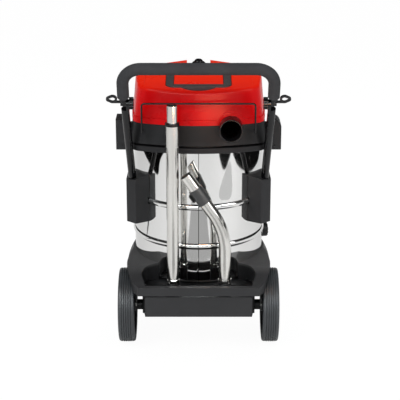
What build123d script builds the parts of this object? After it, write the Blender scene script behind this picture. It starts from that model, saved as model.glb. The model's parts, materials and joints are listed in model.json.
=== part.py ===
from build123d import *
import os
from math import atan2, cos, degrees, pi, radians, sin, tan

os.makedirs("parts", exist_ok=True)

# Shop vacuum on a two-wheeled base, in millimetres. +Z is up, +Y points to the front (the casters),
# +X to the right of someone who pushes it. The origin lies on the floor under the tank's axis.

# ---------------------------------------------------------------- driving dimensions
fit_gap = 0.3          # between curved or moving faces that only lie close together
run_gap = 0.05         # radial clearance of a pin or shaft in its bore

# tank
tank_radius = 190.0
tank_wall = 1.2
tank_floor_z = 178.0
tank_corner = 14.0
tank_bead_out = 5.0
tank_bead_half = 9.0
tank_bead_heights = (294.0, 412.0)
weld_width = 1.6
weld_height = 0.5

# collar, seal and head
collar_z = 575.0
collar_height = 15.0
collar_lip = 3.0
collar_lip_reach = 8.0
seal_height = 7.0
seal_width = 9.0
head_side_overhang = 4.5
head_end_overhang = 15.5
head_side_draft = 17.5
head_end_draft = 12.5
head_base_height = 58.0
head_base_wall = 4.0
head_plate = 8.0
head_notch_depth = 13.0
head_cover_height = 113.0
head_cover_wall = 3.5
head_edge_round = 11.0
head_band_height = 15.0
head_band_proud = 2.6

# side latches
latch_y = -48.0
latch_width = 62.0
latch_thickness = 10.0
latch_cheek = 4.0
latch_height = 89.0
latch_round = 24.0
latch_edge = 3.0
latch_pin_diameter = 6.0
latch_pin_drop = 9.0
lug_overhang = 36.0
lug_play = 1.0
lug_round = 8.0
ledge_height = 22.0

# top of the head
groove_x = 150.0
groove_width = 1.6
groove_depth = 1.2
hump_height = 18.0
hump_inner_x = 34.0
hump_fall = 12.0
hump_y = (5.0, 47.0)
button_y = 30.0
button_radius = 13.0
button_height = 25.0
button_bezel_radius = 23.0
button_bezel_height = 17.0
button_bezel_chamfer = 7.0

# openings for air
blow_port_x = 89.0
blow_port_z = 648.0
blow_port_bore = 57.0
blow_port_wall = 4.0
blow_port_reach = 30.0
blow_port_arch = 43.0
intake_z = 498.0
intake_bore = 50.0
intake_wall = 5.0
intake_reach = 34.0

# drain
drain_z = 262.0
drain_angle = 15.0
drain_bore = 26.0
drain_spigot_wall = 4.0
drain_flange = 5.0
drain_cap_diameter = 48.0
drain_cap_height = 18.0

# chassis
chassis_floor = 8.0
cradle_height = 54.0
cradle_flare = 26.0
cradle_wall = 6.0
tray_reach = 100.0
tray_lip = 12.0
tray_wheel_gap = 28.0
tray_floor_z = 142.0
tray_front_reach = 22.0
lip_top_z = 208.0
lip_height = 25.0
skirt_bottom_z = 118.0
skirt_wall = 4.0

# rear wheels
wheel_diameter = 216.0
wheel_width = 47.0
wheel_track = 413.0
wheel_gap = 4.0
axle_diameter = 12.0
axle_y = -173.0
tyre_thickness = 20.0
tyre_rib_count = 6

# front casters
caster_wheel_diameter = 75.0
caster_wheel_width = 24.0
caster_trail = 26.0
caster_x = 138.0
caster_y = 132.0
caster_stem_diameter = 11.0
caster_stem_length = 38.0
caster_pin_diameter = 8.0

# push handle
handle_tilt = 24.5
handle_lean = 2.3
handle_pivot_reach = 48.0
handle_pivot_z = 728.0
handle_tube_diameter = 22.0
handle_tube_wall = 1.5
handle_side_gap = 10.0
handle_lower_length = 344.0
handle_step = 3.0
handle_upper_height = 115.0
handle_bend = 50.0
tongue_thickness = 8.0
grip_diameter = 33.0
grip_start = 20.0
clamp_bolt_diameter = 8.0
star_knob_diameter = 34.0
star_knob_height = 12.0
star_knob_lobes = 6

# handle brackets on the drum
bracket_bottom_z = 350.0
bracket_top_z = 477.0
bracket_top_rise = 13.0
bracket_width = 66.0
bracket_overhang = 17.0
bracket_nose = 24.0
bracket_screw_y = -70.0
screw_diameter = 5.0
screw_head_radius = 5.0

# stored tubes
suction_tube_diameter = 35.0
suction_tube_wall = 1.0
stored_tube_reach = 55.0
straight_tube_x = -71.5
wand_x = 74.0
stored_tube_z = 208.0
straight_lower_length = 399.0
straight_socket_length = 60.0
straight_upper_length = 56.0
wand_bend_angle = 34.5
wand_bend_radius = 200.0
wand_vertical = 94.0
wand_slant = 132.0
wand_sleeve_diameter = 40.0
wand_sleeve_length = 50.0

# ---------------------------------------------------------------- derived places
head_half_width = tank_radius + head_side_overhang
head_half_depth = tank_radius + head_end_overhang
head_crown_half_width = head_half_width - head_side_draft
head_crown_half_depth = head_half_depth - head_end_draft
cradle_foot_radius = tank_radius + cradle_flare
tray_back_y = -tank_radius - tray_reach
stored_tube_y = -tank_radius - stored_tube_reach
handle_pivot_y = -tank_radius - handle_pivot_reach
handle_lower_x = tank_radius + handle_side_gap
handle_upper_x = handle_lower_x + handle_step
lug_reach = tank_radius + lug_overhang
latch_pin_x = lug_reach - lug_round
ledge_reach = lug_reach - 12
bracket_outer_x = tank_radius + bracket_overhang
bracket_inner_x = bracket_outer_x - bracket_width
arch_inner_x = wheel_track / 2 - wheel_width / 2 - wheel_gap
tray_half_width = arch_inner_x - tray_wheel_gap
wing_half_width = wheel_track / 2
wheel_radius = wheel_diameter / 2
axle_z = wheel_radius
collar_top_z = collar_z + collar_height
head_z = collar_top_z + seal_height
head_plate_z = head_z + head_plate
cover_z = head_z + head_base_height
notch_z = cover_z - head_notch_depth
crown_z = cover_z + head_cover_height
latch_pin_z = collar_z - latch_pin_drop
head_loft_top_z = crown_z + 32
tank_top_z = collar_top_z - collar_lip - fit_gap
cradle_top_z = tank_floor_z + cradle_height
chassis_under_z = tank_floor_z - chassis_floor
handle_plane = Plane(
    origin=(0, handle_pivot_y, handle_pivot_z),
    x_dir=(1, 0, 0),
    z_dir=(0, -sin(radians(handle_tilt)), cos(radians(handle_tilt))),
)
sides = {"left": -1, "right": 1}


def lower_tube_place(sign):
    """Top of a lower handle tube's axis on the handle plane; the tube leans in towards its foot."""
    return Location((sign * handle_lower_x, 0, 0), (0, sign * handle_lean, 0))


def finish(part, name):
    """Labels a finished piece and writes its STEP file."""
    part.label = name
    export_step(part, f"parts/{name}.step")


# ---------------------------------------------------------------- tank
def tank_section(inset):
    """Half section of the beaded drum, drawn in by inset, closed on the axis."""
    radius = tank_radius - inset
    floor_z = tank_floor_z + inset
    top_z = tank_top_z + inset
    corner = tank_corner - inset
    with BuildSketch(Plane.XZ) as section:
        with BuildLine():
            Line((0, floor_z), (radius - corner, floor_z))
            RadiusArc((radius - corner, floor_z), (radius, floor_z + corner), -corner)
            wall_z = floor_z + corner
            for bead_z in tank_bead_heights:
                Line((radius, wall_z), (radius, bead_z - tank_bead_half))
                ThreePointArc(
                    (radius, bead_z - tank_bead_half),
                    (radius + tank_bead_out, bead_z),
                    (radius, bead_z + tank_bead_half),
                )
                wall_z = bead_z + tank_bead_half
            Line((radius, wall_z), (radius, top_z))
            Line((radius, top_z), (0, top_z))
            Line((0, top_z), (0, floor_z))
        make_face()
    return section.sketch


intake_plane = Plane(origin=(0, tank_radius, intake_z), x_dir=(1, 0, 0), z_dir=(0, 1, 0))
drain_direction = (cos(radians(drain_angle)), sin(radians(drain_angle)), 0)
drain_plane = Plane(
    origin=(tank_radius * drain_direction[0], tank_radius * drain_direction[1], drain_z),
    x_dir=(0, 0, 1),
    z_dir=drain_direction,
)
intake_outer = intake_bore / 2 + intake_wall
drain_outer = drain_bore / 2 + drain_spigot_wall

with BuildPart() as tank:
    revolve(tank_section(0), axis=Axis.Z)
    with Locations((0, -tank_radius, (tank_floor_z + tank_corner + collar_z) / 2)):
        Box(weld_width, 2 * weld_height, collar_z - tank_floor_z - tank_corner - 1)
    revolve(tank_section(tank_wall), axis=Axis.Z, mode=Mode.SUBTRACT)
    with BuildSketch(intake_plane.offset(-tank_radius / 3)):
        Circle(intake_outer + fit_gap)
    extrude(amount=tank_radius / 2, mode=Mode.SUBTRACT)
    with BuildSketch(drain_plane.offset(-tank_radius / 3)):
        Circle(drain_outer + fit_gap)
    extrude(amount=tank_radius / 2, mode=Mode.SUBTRACT)
finish(tank.part, "tank")

# room that the drum takes up, for whatever lies against it
with BuildPart() as drum_room:
    with BuildSketch(Plane.XY.offset(tank_floor_z)):
        Circle(tank_radius + fit_gap)
    extrude(amount=tank_top_z - tank_floor_z)

# ---------------------------------------------------------------- air intake at the front
intake_flange_radius = intake_outer + 12
with BuildPart() as intake_port:
    with BuildSketch(intake_plane.offset(-12)):
        Circle(intake_outer)
    extrude(amount=12 + intake_reach)
    with BuildSketch(intake_plane.offset(-9)):
        Circle(intake_flange_radius)
    extrude(amount=14)
    add(drum_room.part, mode=Mode.SUBTRACT)
    with BuildSketch(intake_plane.offset(-20)):
        Circle(intake_outer)
    extrude(amount=24)
    with BuildSketch(intake_plane.offset(intake_reach - 6)):
        Circle(intake_outer + 3)
    extrude(amount=6)
    with BuildSketch(intake_plane.offset(-30)):
        Circle(intake_bore / 2)
    extrude(amount=40 + intake_reach, mode=Mode.SUBTRACT)
    chamfer(intake_port.edges().filter_by(GeomType.CIRCLE).group_by(Axis.Y)[-1].sort_by(SortBy.RADIUS)[0], 2)
finish(intake_port.part, "intake_port")

with BuildPart() as intake_deflector:
    with BuildSketch(intake_plane.offset(-20 - fit_gap)):
        Circle(intake_outer + 2)
    extrude(amount=-34)
    with Locations((0, tank_radius - 37, intake_z - 20)):
        Cylinder(intake_outer + 2, 60)
    with BuildSketch(intake_plane.offset(-20 - fit_gap)):
        Circle(intake_outer - 1)
    extrude(amount=-37, mode=Mode.SUBTRACT)
    with Locations((0, tank_radius - 37, intake_z - 40)):
        Cylinder(intake_outer - 1, 100, mode=Mode.SUBTRACT)
    with Locations((0, tank_radius, intake_z)):
        Box(200, 2 * 20, 300, mode=Mode.SUBTRACT)
finish(intake_deflector.part, "intake_deflector")

# ---------------------------------------------------------------- head outline
def head_plan(height, half_width, half_depth, corner, side_bow, back_bow):
    """Rounded square with bowed sides at one height; the bows are the arcs' rises."""
    corner_x = half_width - side_bow
    corner_y = half_depth - back_bow
    with BuildSketch(Plane.XY.offset(height)) as plan:
        with BuildLine():
            ThreePointArc((-corner_x, -corner_y), (0, -half_depth), (corner_x, -corner_y))
            ThreePointArc((corner_x, -corner_y), (half_width, 0), (corner_x, corner_y))
            ThreePointArc((corner_x, corner_y), (0, half_depth), (-corner_x, corner_y))
            ThreePointArc((-corner_x, corner_y), (-half_width, 0), (-corner_x, -corner_y))
        make_face()
        fillet(plan.vertices(), corner)
    return plan.sketch


def head_foot(height, inset=0):
    """Outline of the head where it meets the collar, drawn in by inset."""
    return head_plan(height, head_half_width - inset, head_half_depth - inset, 35 - inset, 9, 38)


def head_form(inset=0):
    """Solid form of the whole head, lofted from its square foot to its rounder crown."""
    with BuildPart() as form:
        head_foot_face = head_foot(head_z, inset)
        head_crown_face = head_plan(
            head_loft_top_z,
            head_crown_half_width - inset,
            head_crown_half_depth - inset,
            58 - inset,
            16,
            46,
        )
        add(head_foot_face)
        add(head_crown_face)
        loft()
    return form.part


def above_crown(drop=0):
    """Everything above the head's top line, which rises gently and then falls to the panel."""
    with BuildPart() as above:
        with BuildSketch(Plane.YZ) as side:
            with BuildLine():
                back = (-head_half_depth - 40, crown_z - 26 - drop)
                middle = (0, crown_z - drop)
                brow = (96, crown_z - 6 - drop)
                nose = (head_half_depth + 40, crown_z - 106 - drop)
                ThreePointArc(back, (-100, crown_z - 7 - drop), middle)
                ThreePointArc(middle, (50, crown_z - 1 - drop), brow)
                Line(brow, nose)
                Line(nose, (nose[0], head_loft_top_z + 60))
                Line((nose[0], head_loft_top_z + 60), (back[0], head_loft_top_z + 60))
                Line((back[0], head_loft_top_z + 60), back)
            make_face()
        extrude(amount=head_half_width + 20, both=True)
    return above.part


# ---------------------------------------------------------------- collar, seal
lug_width = latch_width - 2 * lug_play
lug_height = collar_top_z - latch_pin_z + lug_round
lug_root_x = head_half_width - 12

with BuildPart() as tank_collar:
    add(head_foot(collar_z))
    extrude(amount=collar_height)
    for sign in sides.values():
        with Locations((sign * (lug_root_x + lug_reach) / 2, latch_y, collar_top_z - lug_height / 2)):
            Box(lug_reach - lug_root_x, lug_width, lug_height)
    lug_edges = tank_collar.edges().filter_by(Axis.Y).filter_by(lambda e: abs(e.center().X) > lug_reach - 1)
    fillet(lug_edges.sort_by(Axis.Z)[:2], lug_round - 0.1)
    Cylinder(
        tank_radius + tank_bead_out + fit_gap,
        collar_z,
        align=(Align.CENTER, Align.CENTER, Align.MIN),
        mode=Mode.SUBTRACT,
    )
    with BuildSketch(Plane.XY.offset(collar_z)):
        Circle(tank_radius + fit_gap)
    extrude(amount=collar_height - collar_lip, mode=Mode.SUBTRACT)
    with BuildSketch(Plane.XY.offset(collar_z)):
        Circle(tank_radius - collar_lip_reach)
    extrude(amount=collar_height, mode=Mode.SUBTRACT)
    with BuildSketch(Plane.XZ.offset(-latch_y)):
        with Locations((latch_pin_x, latch_pin_z), (-latch_pin_x, latch_pin_z)):
            Circle(latch_pin_diameter / 2 + run_gap)
    extrude(amount=lug_width, both=True, mode=Mode.SUBTRACT)
finish(tank_collar.part, "tank_collar")

seal_radius = tank_radius - collar_lip_reach + 1 + seal_width
with BuildPart() as head_seal:
    with BuildSketch(Plane.XY.offset(collar_top_z)):
        Circle(seal_radius)
        Circle(seal_radius - seal_width, mode=Mode.SUBTRACT)
    extrude(amount=seal_height)
finish(head_seal.part, "head_seal")

# ---------------------------------------------------------------- head base
blow_port_outer = blow_port_bore / 2 + blow_port_wall
bail_wire_diameter = 5.0
bail_x = 156.0
bail_z = notch_z - 6.0
suction_opening_radius = 52.0
gland_radius = 8.0
gland_x = -62.0
gland_z = head_z + 28.0
gland_face_y = head_half_depth + 1.0
gland_plane = Plane(origin=(gland_x, 0, gland_z), x_dir=(1, 0, 0), z_dir=(0, 1, 0))
notch_left = -106.0
notch_right = 138.0
notch_slope = 10.0


def notch_outline(raised=0):
    """Trapezium above the lowered stretch of the seam at the rear, open upwards."""
    with BuildSketch(Plane.XZ.offset(head_half_depth - 60)) as outline:
        with BuildLine():
            Polyline(
                (notch_left, cover_z + raised),
                (notch_left + notch_slope, notch_z + raised),
                (notch_right - notch_slope, notch_z + raised),
                (notch_right, cover_z + raised),
                close=True,
            )
        make_face()
    return outline.sketch


with BuildPart() as cover_zone:
    with Locations((0, 0, cover_z)):
        Box(600, 600, 300, align=(Align.CENTER, Align.CENTER, Align.MIN))
    add(notch_outline())
    extrude(amount=120)

with BuildPart() as blow_bore:
    with BuildSketch(Plane(origin=(blow_port_x, 0, blow_port_z), x_dir=(1, 0, 0), z_dir=(0, -1, 0))):
        Circle(blow_port_outer + fit_gap)
    extrude(amount=400)

with BuildPart() as base_hollow:
    add(head_form(head_base_wall))
    split(bisect_by=Plane.XY.offset(head_plate_z), keep=Keep.TOP)

with BuildPart() as head_base:
    add(head_form())
    split(bisect_by=Plane.XY.offset(cover_z), keep=Keep.BOTTOM)
    for sign in sides.values():
        with Locations((sign * (lug_root_x + ledge_reach) / 2, latch_y, head_z + ledge_height / 2)):
            Box(ledge_reach - lug_root_x, lug_width, ledge_height)
    with BuildSketch(gland_plane.offset(gland_face_y - 20)):
        Circle(gland_radius + 5)
    extrude(amount=20)
    add(base_hollow.part, mode=Mode.SUBTRACT)
    add(cover_zone.part, mode=Mode.SUBTRACT)
    add(blow_bore.part, mode=Mode.SUBTRACT)
    with BuildSketch(Plane.XY.offset(head_z)):
        Circle(suction_opening_radius)
    extrude(amount=head_plate, mode=Mode.SUBTRACT)
    with BuildSketch(Plane.XZ.offset(head_half_depth - 80)):
        with Locations((bail_x, bail_z), (-bail_x, bail_z)):
            Circle(bail_wire_diameter / 2 + run_gap)
    extrude(amount=120, mode=Mode.SUBTRACT)
    with BuildSketch(gland_plane):
        Circle(gland_radius + run_gap)
    extrude(amount=400, mode=Mode.SUBTRACT)
finish(head_base.part, "head_base")

# ---------------------------------------------------------------- head cover
carry_pivot_y = 25.0
carry_pivot_z = crown_z - 5.0
carry_half_width = 91.0
carry_leg_width = 21.0
carry_thickness = 12.0
carry_back_y = -164.0
carry_back_width = 22.0
carry_slope = degrees(atan2(12, carry_pivot_y - carry_back_y))
carry_pin_diameter = 8.0
carry_gap = 1.5
carry_leg_end = 8.0
carry_corner = 24.0
carry_pin_hold = 14.0
hump_outer_x = carry_half_width + 27.0
label_x = (-44.0, 30.0)
label_z = (notch_z + 52, notch_z + 78)
carry_plane = Plane(
    origin=(0, carry_pivot_y, carry_pivot_z),
    x_dir=(1, 0, 0),
    z_dir=(0, -sin(radians(carry_slope)), cos(radians(carry_slope))),
)
carry_length = (carry_pivot_y - carry_back_y) / cos(radians(carry_slope))


def carry_outline(height, grow=0):
    """U of the carry handle in its own plane, grown by a clearance all round."""
    inner_half = carry_half_width - carry_leg_width
    with BuildSketch(carry_plane.offset(height)) as outline:
        with Locations((0, carry_leg_end + grow)):
            Rectangle(
                2 * (carry_half_width + grow),
                carry_length + carry_leg_end + 2 * grow,
                align=(Align.CENTER, Align.MAX),
            )
        fillet(outline.vertices().group_by(Axis.Y)[0], carry_corner + grow)
        with Locations((0, (carry_back_width + grow) / 2)):
            Rectangle(
                2 * (inner_half - grow),
                2 * carry_length - carry_back_width - grow,
                mode=Mode.SUBTRACT,
            )
    return outline.sketch


with BuildPart() as label_recess:
    add(head_form())
    add(head_form(1.0), mode=Mode.SUBTRACT)
    with Locations((sum(label_x) / 2, -head_half_depth, sum(label_z) / 2)):
        Box(label_x[1] - label_x[0], head_half_depth, label_z[1] - label_z[0], mode=Mode.INTERSECT)

switch_y = 152.0
switch_tilt = degrees(atan2(100, head_half_depth + 40 - 96))
switch_z = crown_z - 6 - (switch_y - 96) * tan(radians(switch_tilt))
switch_plane = Plane(
    origin=(0, switch_y, switch_z),
    x_dir=(1, 0, 0),
    z_dir=(0, sin(radians(switch_tilt)), cos(radians(switch_tilt))),
)
switch_bezel_radius = 34.0
switch_knob_radius = 23.0
switch_shaft_radius = 5.0
scoop_radius = 60.0
scoop_depth = 15.0

with BuildPart() as scoop:
    with Locations((0, carry_back_y + 34, crown_z - 11)):
        Cylinder(scoop_radius, 2 * scoop_depth)
    fillet(scoop.edges().group_by(Axis.Z)[0], 8)
    with Locations((0, carry_back_y + 4, crown_z)):
        Box(300, 100, 100, align=(Align.CENTER, Align.MAX, Align.CENTER), mode=Mode.INTERSECT)

# the raised band follows the cover's lower edge and arches over the blow port
with BuildPart() as cover_band:
    with Locations((0, 0, notch_z)):
        Box(600, 600, cover_z - notch_z + head_band_height, align=(Align.CENTER, Align.CENTER, Align.MIN))
    add(notch_outline(head_band_height))
    extrude(amount=120, mode=Mode.SUBTRACT)
    with BuildSketch(Plane.XZ.offset(120)):
        with Locations((blow_port_x, blow_port_z)):
            Circle(blow_port_arch)
    extrude(amount=head_half_depth)
    add(head_form(-head_band_proud), mode=Mode.INTERSECT)

with BuildPart() as crown_grooves:
    with Locations((-groove_x, 0, crown_z), (groove_x, 0, crown_z)):
        Box(groove_width, 2 * head_half_depth, 2 * head_edge_round)
    with BuildPart(mode=Mode.PRIVATE) as crown_core:
        add(head_form(groove_depth))
        add(above_crown(groove_depth), mode=Mode.SUBTRACT)
    add(crown_core.part, mode=Mode.SUBTRACT)

# the cover's inside follows its outside, but leaves walls round the pockets in the top
with BuildPart() as cover_hollow:
    add(head_form(head_cover_wall))
    add(above_crown(head_cover_wall), mode=Mode.SUBTRACT)
    split(bisect_by=Plane.XY.offset(notch_z - 5), keep=Keep.TOP)
    add(carry_outline(-carry_thickness / 2 - carry_gap - head_cover_wall, carry_gap + head_cover_wall))
    extrude(amount=carry_thickness * 4, dir=carry_plane.z_dir, mode=Mode.SUBTRACT)
    with Locations((0, carry_back_y + 34, crown_z - 11)):
        Cylinder(scoop_radius + head_cover_wall, 2 * (scoop_depth + head_cover_wall), mode=Mode.SUBTRACT)
    with Locations((0, (hump_y[0] + hump_y[1]) / 2, crown_z - 16)):
        Box(
            2 * (carry_half_width + carry_pin_hold),
            hump_y[1] - hump_y[0] + 2 * head_cover_wall,
            100,
            align=(Align.CENTER, Align.CENTER, Align.MIN),
            mode=Mode.SUBTRACT,
        )
    with BuildSketch(switch_plane.offset(-3 - head_cover_wall)):
        Circle(switch_bezel_radius + head_cover_wall)
    extrude(amount=60, mode=Mode.SUBTRACT)

with BuildPart() as head_cover:
    add(head_form())
    add(above_crown(), mode=Mode.SUBTRACT)
    split(bisect_by=Plane.XY.offset(head_plate_z), keep=Keep.TOP)
    rim_edges = head_cover.edges().filter_by(lambda e: e.center().Z > cover_z + 20)
    rim_edges = rim_edges.filter_by(lambda e: abs(e.center().X) > 100 or abs(e.center().Y) > 140)
    fillet(rim_edges.filter_by(lambda e: e.bounding_box().size.Z < 60), head_edge_round)
    add(crown_grooves.part, mode=Mode.SUBTRACT)
    add(cover_band.part)
    # humps that carry the handle's pins, one on each side of the button
    with BuildSketch(Plane.XZ.offset(-hump_y[1])):
        for sign in (-1, 1):
            with BuildLine():
                Polyline(
                    (sign * hump_inner_x, crown_z - 10),
                    (sign * hump_inner_x, crown_z + hump_height),
                    (sign * hump_outer_x, crown_z + hump_height - hump_fall),
                    (sign * (hump_outer_x + 4), crown_z - 10),
                    close=True,
                )
            make_face()
    extrude(amount=hump_y[1] - hump_y[0])
    add(cover_zone.part, mode=Mode.INTERSECT)
    add(cover_hollow.part, mode=Mode.SUBTRACT)
    add(label_recess.part, mode=Mode.SUBTRACT)
    add(blow_bore.part, mode=Mode.SUBTRACT)
    add(scoop.part, mode=Mode.SUBTRACT)
    # pocket of the folding handle, with a deeper well round each pin
    add(carry_outline(-carry_thickness / 2 - carry_gap, carry_gap))
    extrude(amount=carry_thickness * 3, dir=carry_plane.z_dir, mode=Mode.SUBTRACT)
    for sign in (-1, 1):
        with Locations((sign * (carry_half_width - carry_leg_width / 2), carry_pivot_y, carry_pivot_z)):
            Cylinder(
                carry_thickness / 2 + 4 + carry_gap,
                carry_leg_width + 2 * carry_gap,
                rotation=(0, 90, 0),
                mode=Mode.SUBTRACT,
            )
    with BuildSketch(Plane.YZ) as pin_section:
        with Locations((carry_pivot_y, carry_pivot_z)):
            Circle(carry_pin_diameter / 2 + run_gap)
    extrude(amount=carry_half_width + carry_pin_hold - 3, both=True, mode=Mode.SUBTRACT)
    with Locations((0, button_y, crown_z)):
        Cylinder(button_radius + 4, 90, mode=Mode.SUBTRACT)
    with BuildSketch(switch_plane.offset(-3)):
        Circle(switch_bezel_radius + fit_gap)
    extrude(amount=40, mode=Mode.SUBTRACT)
    with BuildSketch(switch_plane.offset(-60)):
        Circle(switch_shaft_radius + 4)
    extrude(amount=80, mode=Mode.SUBTRACT)
finish(head_cover.part, "head_cover")

# ---------------------------------------------------------------- carry handle, button, switch
with BuildPart() as carry_handle:
    add(carry_outline(-carry_thickness / 2))
    extrude(amount=carry_thickness, dir=carry_plane.z_dir)
    chamfer(carry_handle.faces().sort_by(Axis.Z)[-1].edges(), 1.5)
    for sign in (-1, 1):
        with Locations((sign * (carry_half_width - carry_leg_width / 2), carry_pivot_y, carry_pivot_z)):
            Cylinder(carry_thickness / 2 + 3, carry_leg_width, rotation=(0, 90, 0))
    with BuildSketch(Plane.YZ):
        with Locations((carry_pivot_y, carry_pivot_z)):
            Circle(carry_pin_diameter / 2 + run_gap)
    extrude(amount=carry_half_width + 1, both=True, mode=Mode.SUBTRACT)
finish(carry_handle.part, "carry_handle")

with BuildPart() as carry_pins:
    for sign in (-1, 1):
        with Locations((sign * (hump_inner_x + carry_half_width + 8) / 2, carry_pivot_y, carry_pivot_z)):
            Cylinder(
                carry_pin_diameter / 2,
                carry_half_width + 8 - hump_inner_x,
                rotation=(0, 90, 0),
            )
finish(carry_pins.part, "carry_pins")

with BuildPart() as button_bezel:
    with BuildSketch(Plane.XY.offset(crown_z + fit_gap)):
        with Locations((0, button_y)):
            Circle(button_bezel_radius)
            Circle(button_radius + fit_gap, mode=Mode.SUBTRACT)
    extrude(amount=button_bezel_height - fit_gap)
    chamfer(button_bezel.edges().group_by(Axis.Z)[-1].sort_by(SortBy.RADIUS)[-1], button_bezel_chamfer)
    with BuildSketch(Plane.XY.offset(crown_z - 30)):
        with Locations((0, button_y)):
            Circle(button_radius + 3.5)
            Circle(button_radius + fit_gap, mode=Mode.SUBTRACT)
    extrude(amount=30 + fit_gap)
finish(button_bezel.part, "button_bezel")

with BuildPart() as cleaning_button:
    with Locations((0, button_y, crown_z - 8)):
        Cylinder(
            button_radius,
            button_height + 8,
            align=(Align.CENTER, Align.CENTER, Align.MIN),
        )
    fillet(cleaning_button.edges().group_by(Axis.Z)[-1], button_radius - 4)
    with Locations((0, button_y, crown_z - 36)):
        Cylinder(4, 30, align=(Align.CENTER, Align.CENTER, Align.MIN))
finish(cleaning_button.part, "cleaning_button")

with BuildPart() as switch_bezel:
    with BuildSketch(switch_plane.offset(-3)):
        Circle(switch_bezel_radius)
    extrude(amount=7)
    chamfer(switch_bezel.edges().filter_by(GeomType.CIRCLE).sort_by(Axis.Z)[-1], 2)
    with BuildSketch(switch_plane.offset(-30)):
        Circle(switch_shaft_radius + 3.5)
    extrude(amount=28)
    with BuildSketch(switch_plane.offset(-40)):
        Circle(switch_shaft_radius + run_gap)
    extrude(amount=60, mode=Mode.SUBTRACT)
finish(switch_bezel.part, "switch_bezel")

with BuildPart() as switch_knob:
    with BuildSketch(switch_plane.offset(4 + fit_gap)):
        Circle(switch_knob_radius)
    extrude(amount=6)
    with BuildSketch(switch_plane.offset(10)):
        SlotOverall(2 * switch_knob_radius - 2, 13)
    extrude(amount=14, taper=4)
    with BuildSketch(switch_plane.offset(-32)):
        Circle(switch_shaft_radius)
    extrude(amount=38)
finish(switch_knob.part, "switch_knob")

# ---------------------------------------------------------------- blow port and wire bail
blow_plane = Plane(origin=(blow_port_x, 0, blow_port_z), x_dir=(1, 0, 0), z_dir=(0, -1, 0))
blow_front = head_half_depth + blow_port_reach
with BuildPart() as blow_port:
    with BuildSketch(blow_plane.offset(head_half_depth - 52)):
        Circle(blow_port_outer)
        Circle(blow_port_bore / 2, mode=Mode.SUBTRACT)
    extrude(amount=blow_port_reach + 52)
    with BuildSketch(blow_plane.offset(head_half_depth - 56)):
        Circle(blow_port_outer + 5)
        Circle(blow_port_bore / 2, mode=Mode.SUBTRACT)
    extrude(amount=6)
    chamfer(blow_port.faces().sort_by(Axis.Y)[0].edges(), 1.2)
finish(blow_port.part, "blow_port")

bail_top_z = bail_z + 84.0
bail_y = -head_half_depth - 8.0
bail_root_y = -150.0
bail_corner = 8.0
with BuildPart() as wire_bail:
    with BuildLine() as bail_path:
        FilletPolyline(
            (-bail_x, bail_root_y, bail_z),
            (-bail_x, bail_y, bail_z),
            (-bail_x, bail_y, bail_top_z),
            (bail_x, bail_y, bail_top_z),
            (bail_x, bail_y, bail_z),
            (bail_x, bail_root_y, bail_z),
            radius=bail_corner,
        )
    with BuildSketch(Plane(origin=(-bail_x, bail_root_y, bail_z), z_dir=(0, -1, 0))):
        Circle(bail_wire_diameter / 2)
    sweep()
finish(wire_bail.part, "wire_bail")

# ---------------------------------------------------------------- side latches
latch_inner_x = head_half_width + 4.5
latch_seat_x = lug_reach + lug_play
latch_outer_x = latch_seat_x + latch_thickness
latch_bottom_z = latch_pin_z - 14.0
latch_top_z = latch_bottom_z + latch_height
latch_full_width = latch_width + 2 * latch_cheek

for side, sign in sides.items():
    with BuildPart() as latch:
        with BuildSketch(Plane.XZ.offset(-latch_y)):
            with BuildLine():
                Polyline(
                    (sign * latch_inner_x, latch_top_z),
                    (sign * latch_outer_x, latch_top_z),
                    (sign * latch_outer_x, latch_bottom_z),
                    (sign * (latch_pin_x - 9), latch_bottom_z),
                    (sign * (latch_pin_x - 12), latch_pin_z + 6),
                    (sign * latch_inner_x, latch_pin_z + 10),
                    close=True,
                )
            make_face()
        extrude(amount=latch_full_width / 2, both=True)
        fillet(latch.edges().filter_by(Axis.Y).group_by(Axis.Z)[-1].sort_by(Axis.X)[-sign], latch_round)
        end_edges = latch.edges().filter_by(lambda e: abs(e.center().Y - latch_y) > latch_width / 2)
        end_edges = end_edges.filter_by(lambda e: abs(e.center().X) > latch_pin_x - 9)
        fillet(end_edges.filter_by(lambda e: e.center().Z > latch_bottom_z + 1), latch_edge)
        # room for the collar's lug and the head's ledge
        with Locations((sign * latch_seat_x / 2, latch_y, head_z + ledge_height + fit_gap)):
            Box(
                latch_seat_x,
                latch_width,
                2 * latch_height,
                align=(Align.CENTER, Align.CENTER, Align.MAX),
                mode=Mode.SUBTRACT,
            )
        with BuildSketch(Plane.XZ.offset(-latch_y)):
            with Locations((sign * latch_pin_x, latch_pin_z)):
                Circle(latch_pin_diameter / 2 + run_gap)
        extrude(amount=latch_full_width, both=True, mode=Mode.SUBTRACT)
    finish(latch.part, f"latch_{side}")

with BuildPart() as latch_pins:
    for sign in sides.values():
        with Locations((sign * latch_pin_x, latch_y, latch_pin_z)):
            Cylinder(latch_pin_diameter / 2, latch_full_width - 1, rotation=(90, 0, 0))
finish(latch_pins.part, "latch_pins")

# ---------------------------------------------------------------- motor and turbine in the head
turbine_radius = 76.0
turbine_height = 34.0
motor_radius = 50.0
motor_height = 84.0
shaft_radius = 5.0
impeller_radius = 66.0
impeller_blades = 9
turbine_top_z = head_plate_z + turbine_height
motor_top_z = turbine_top_z + motor_height

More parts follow.
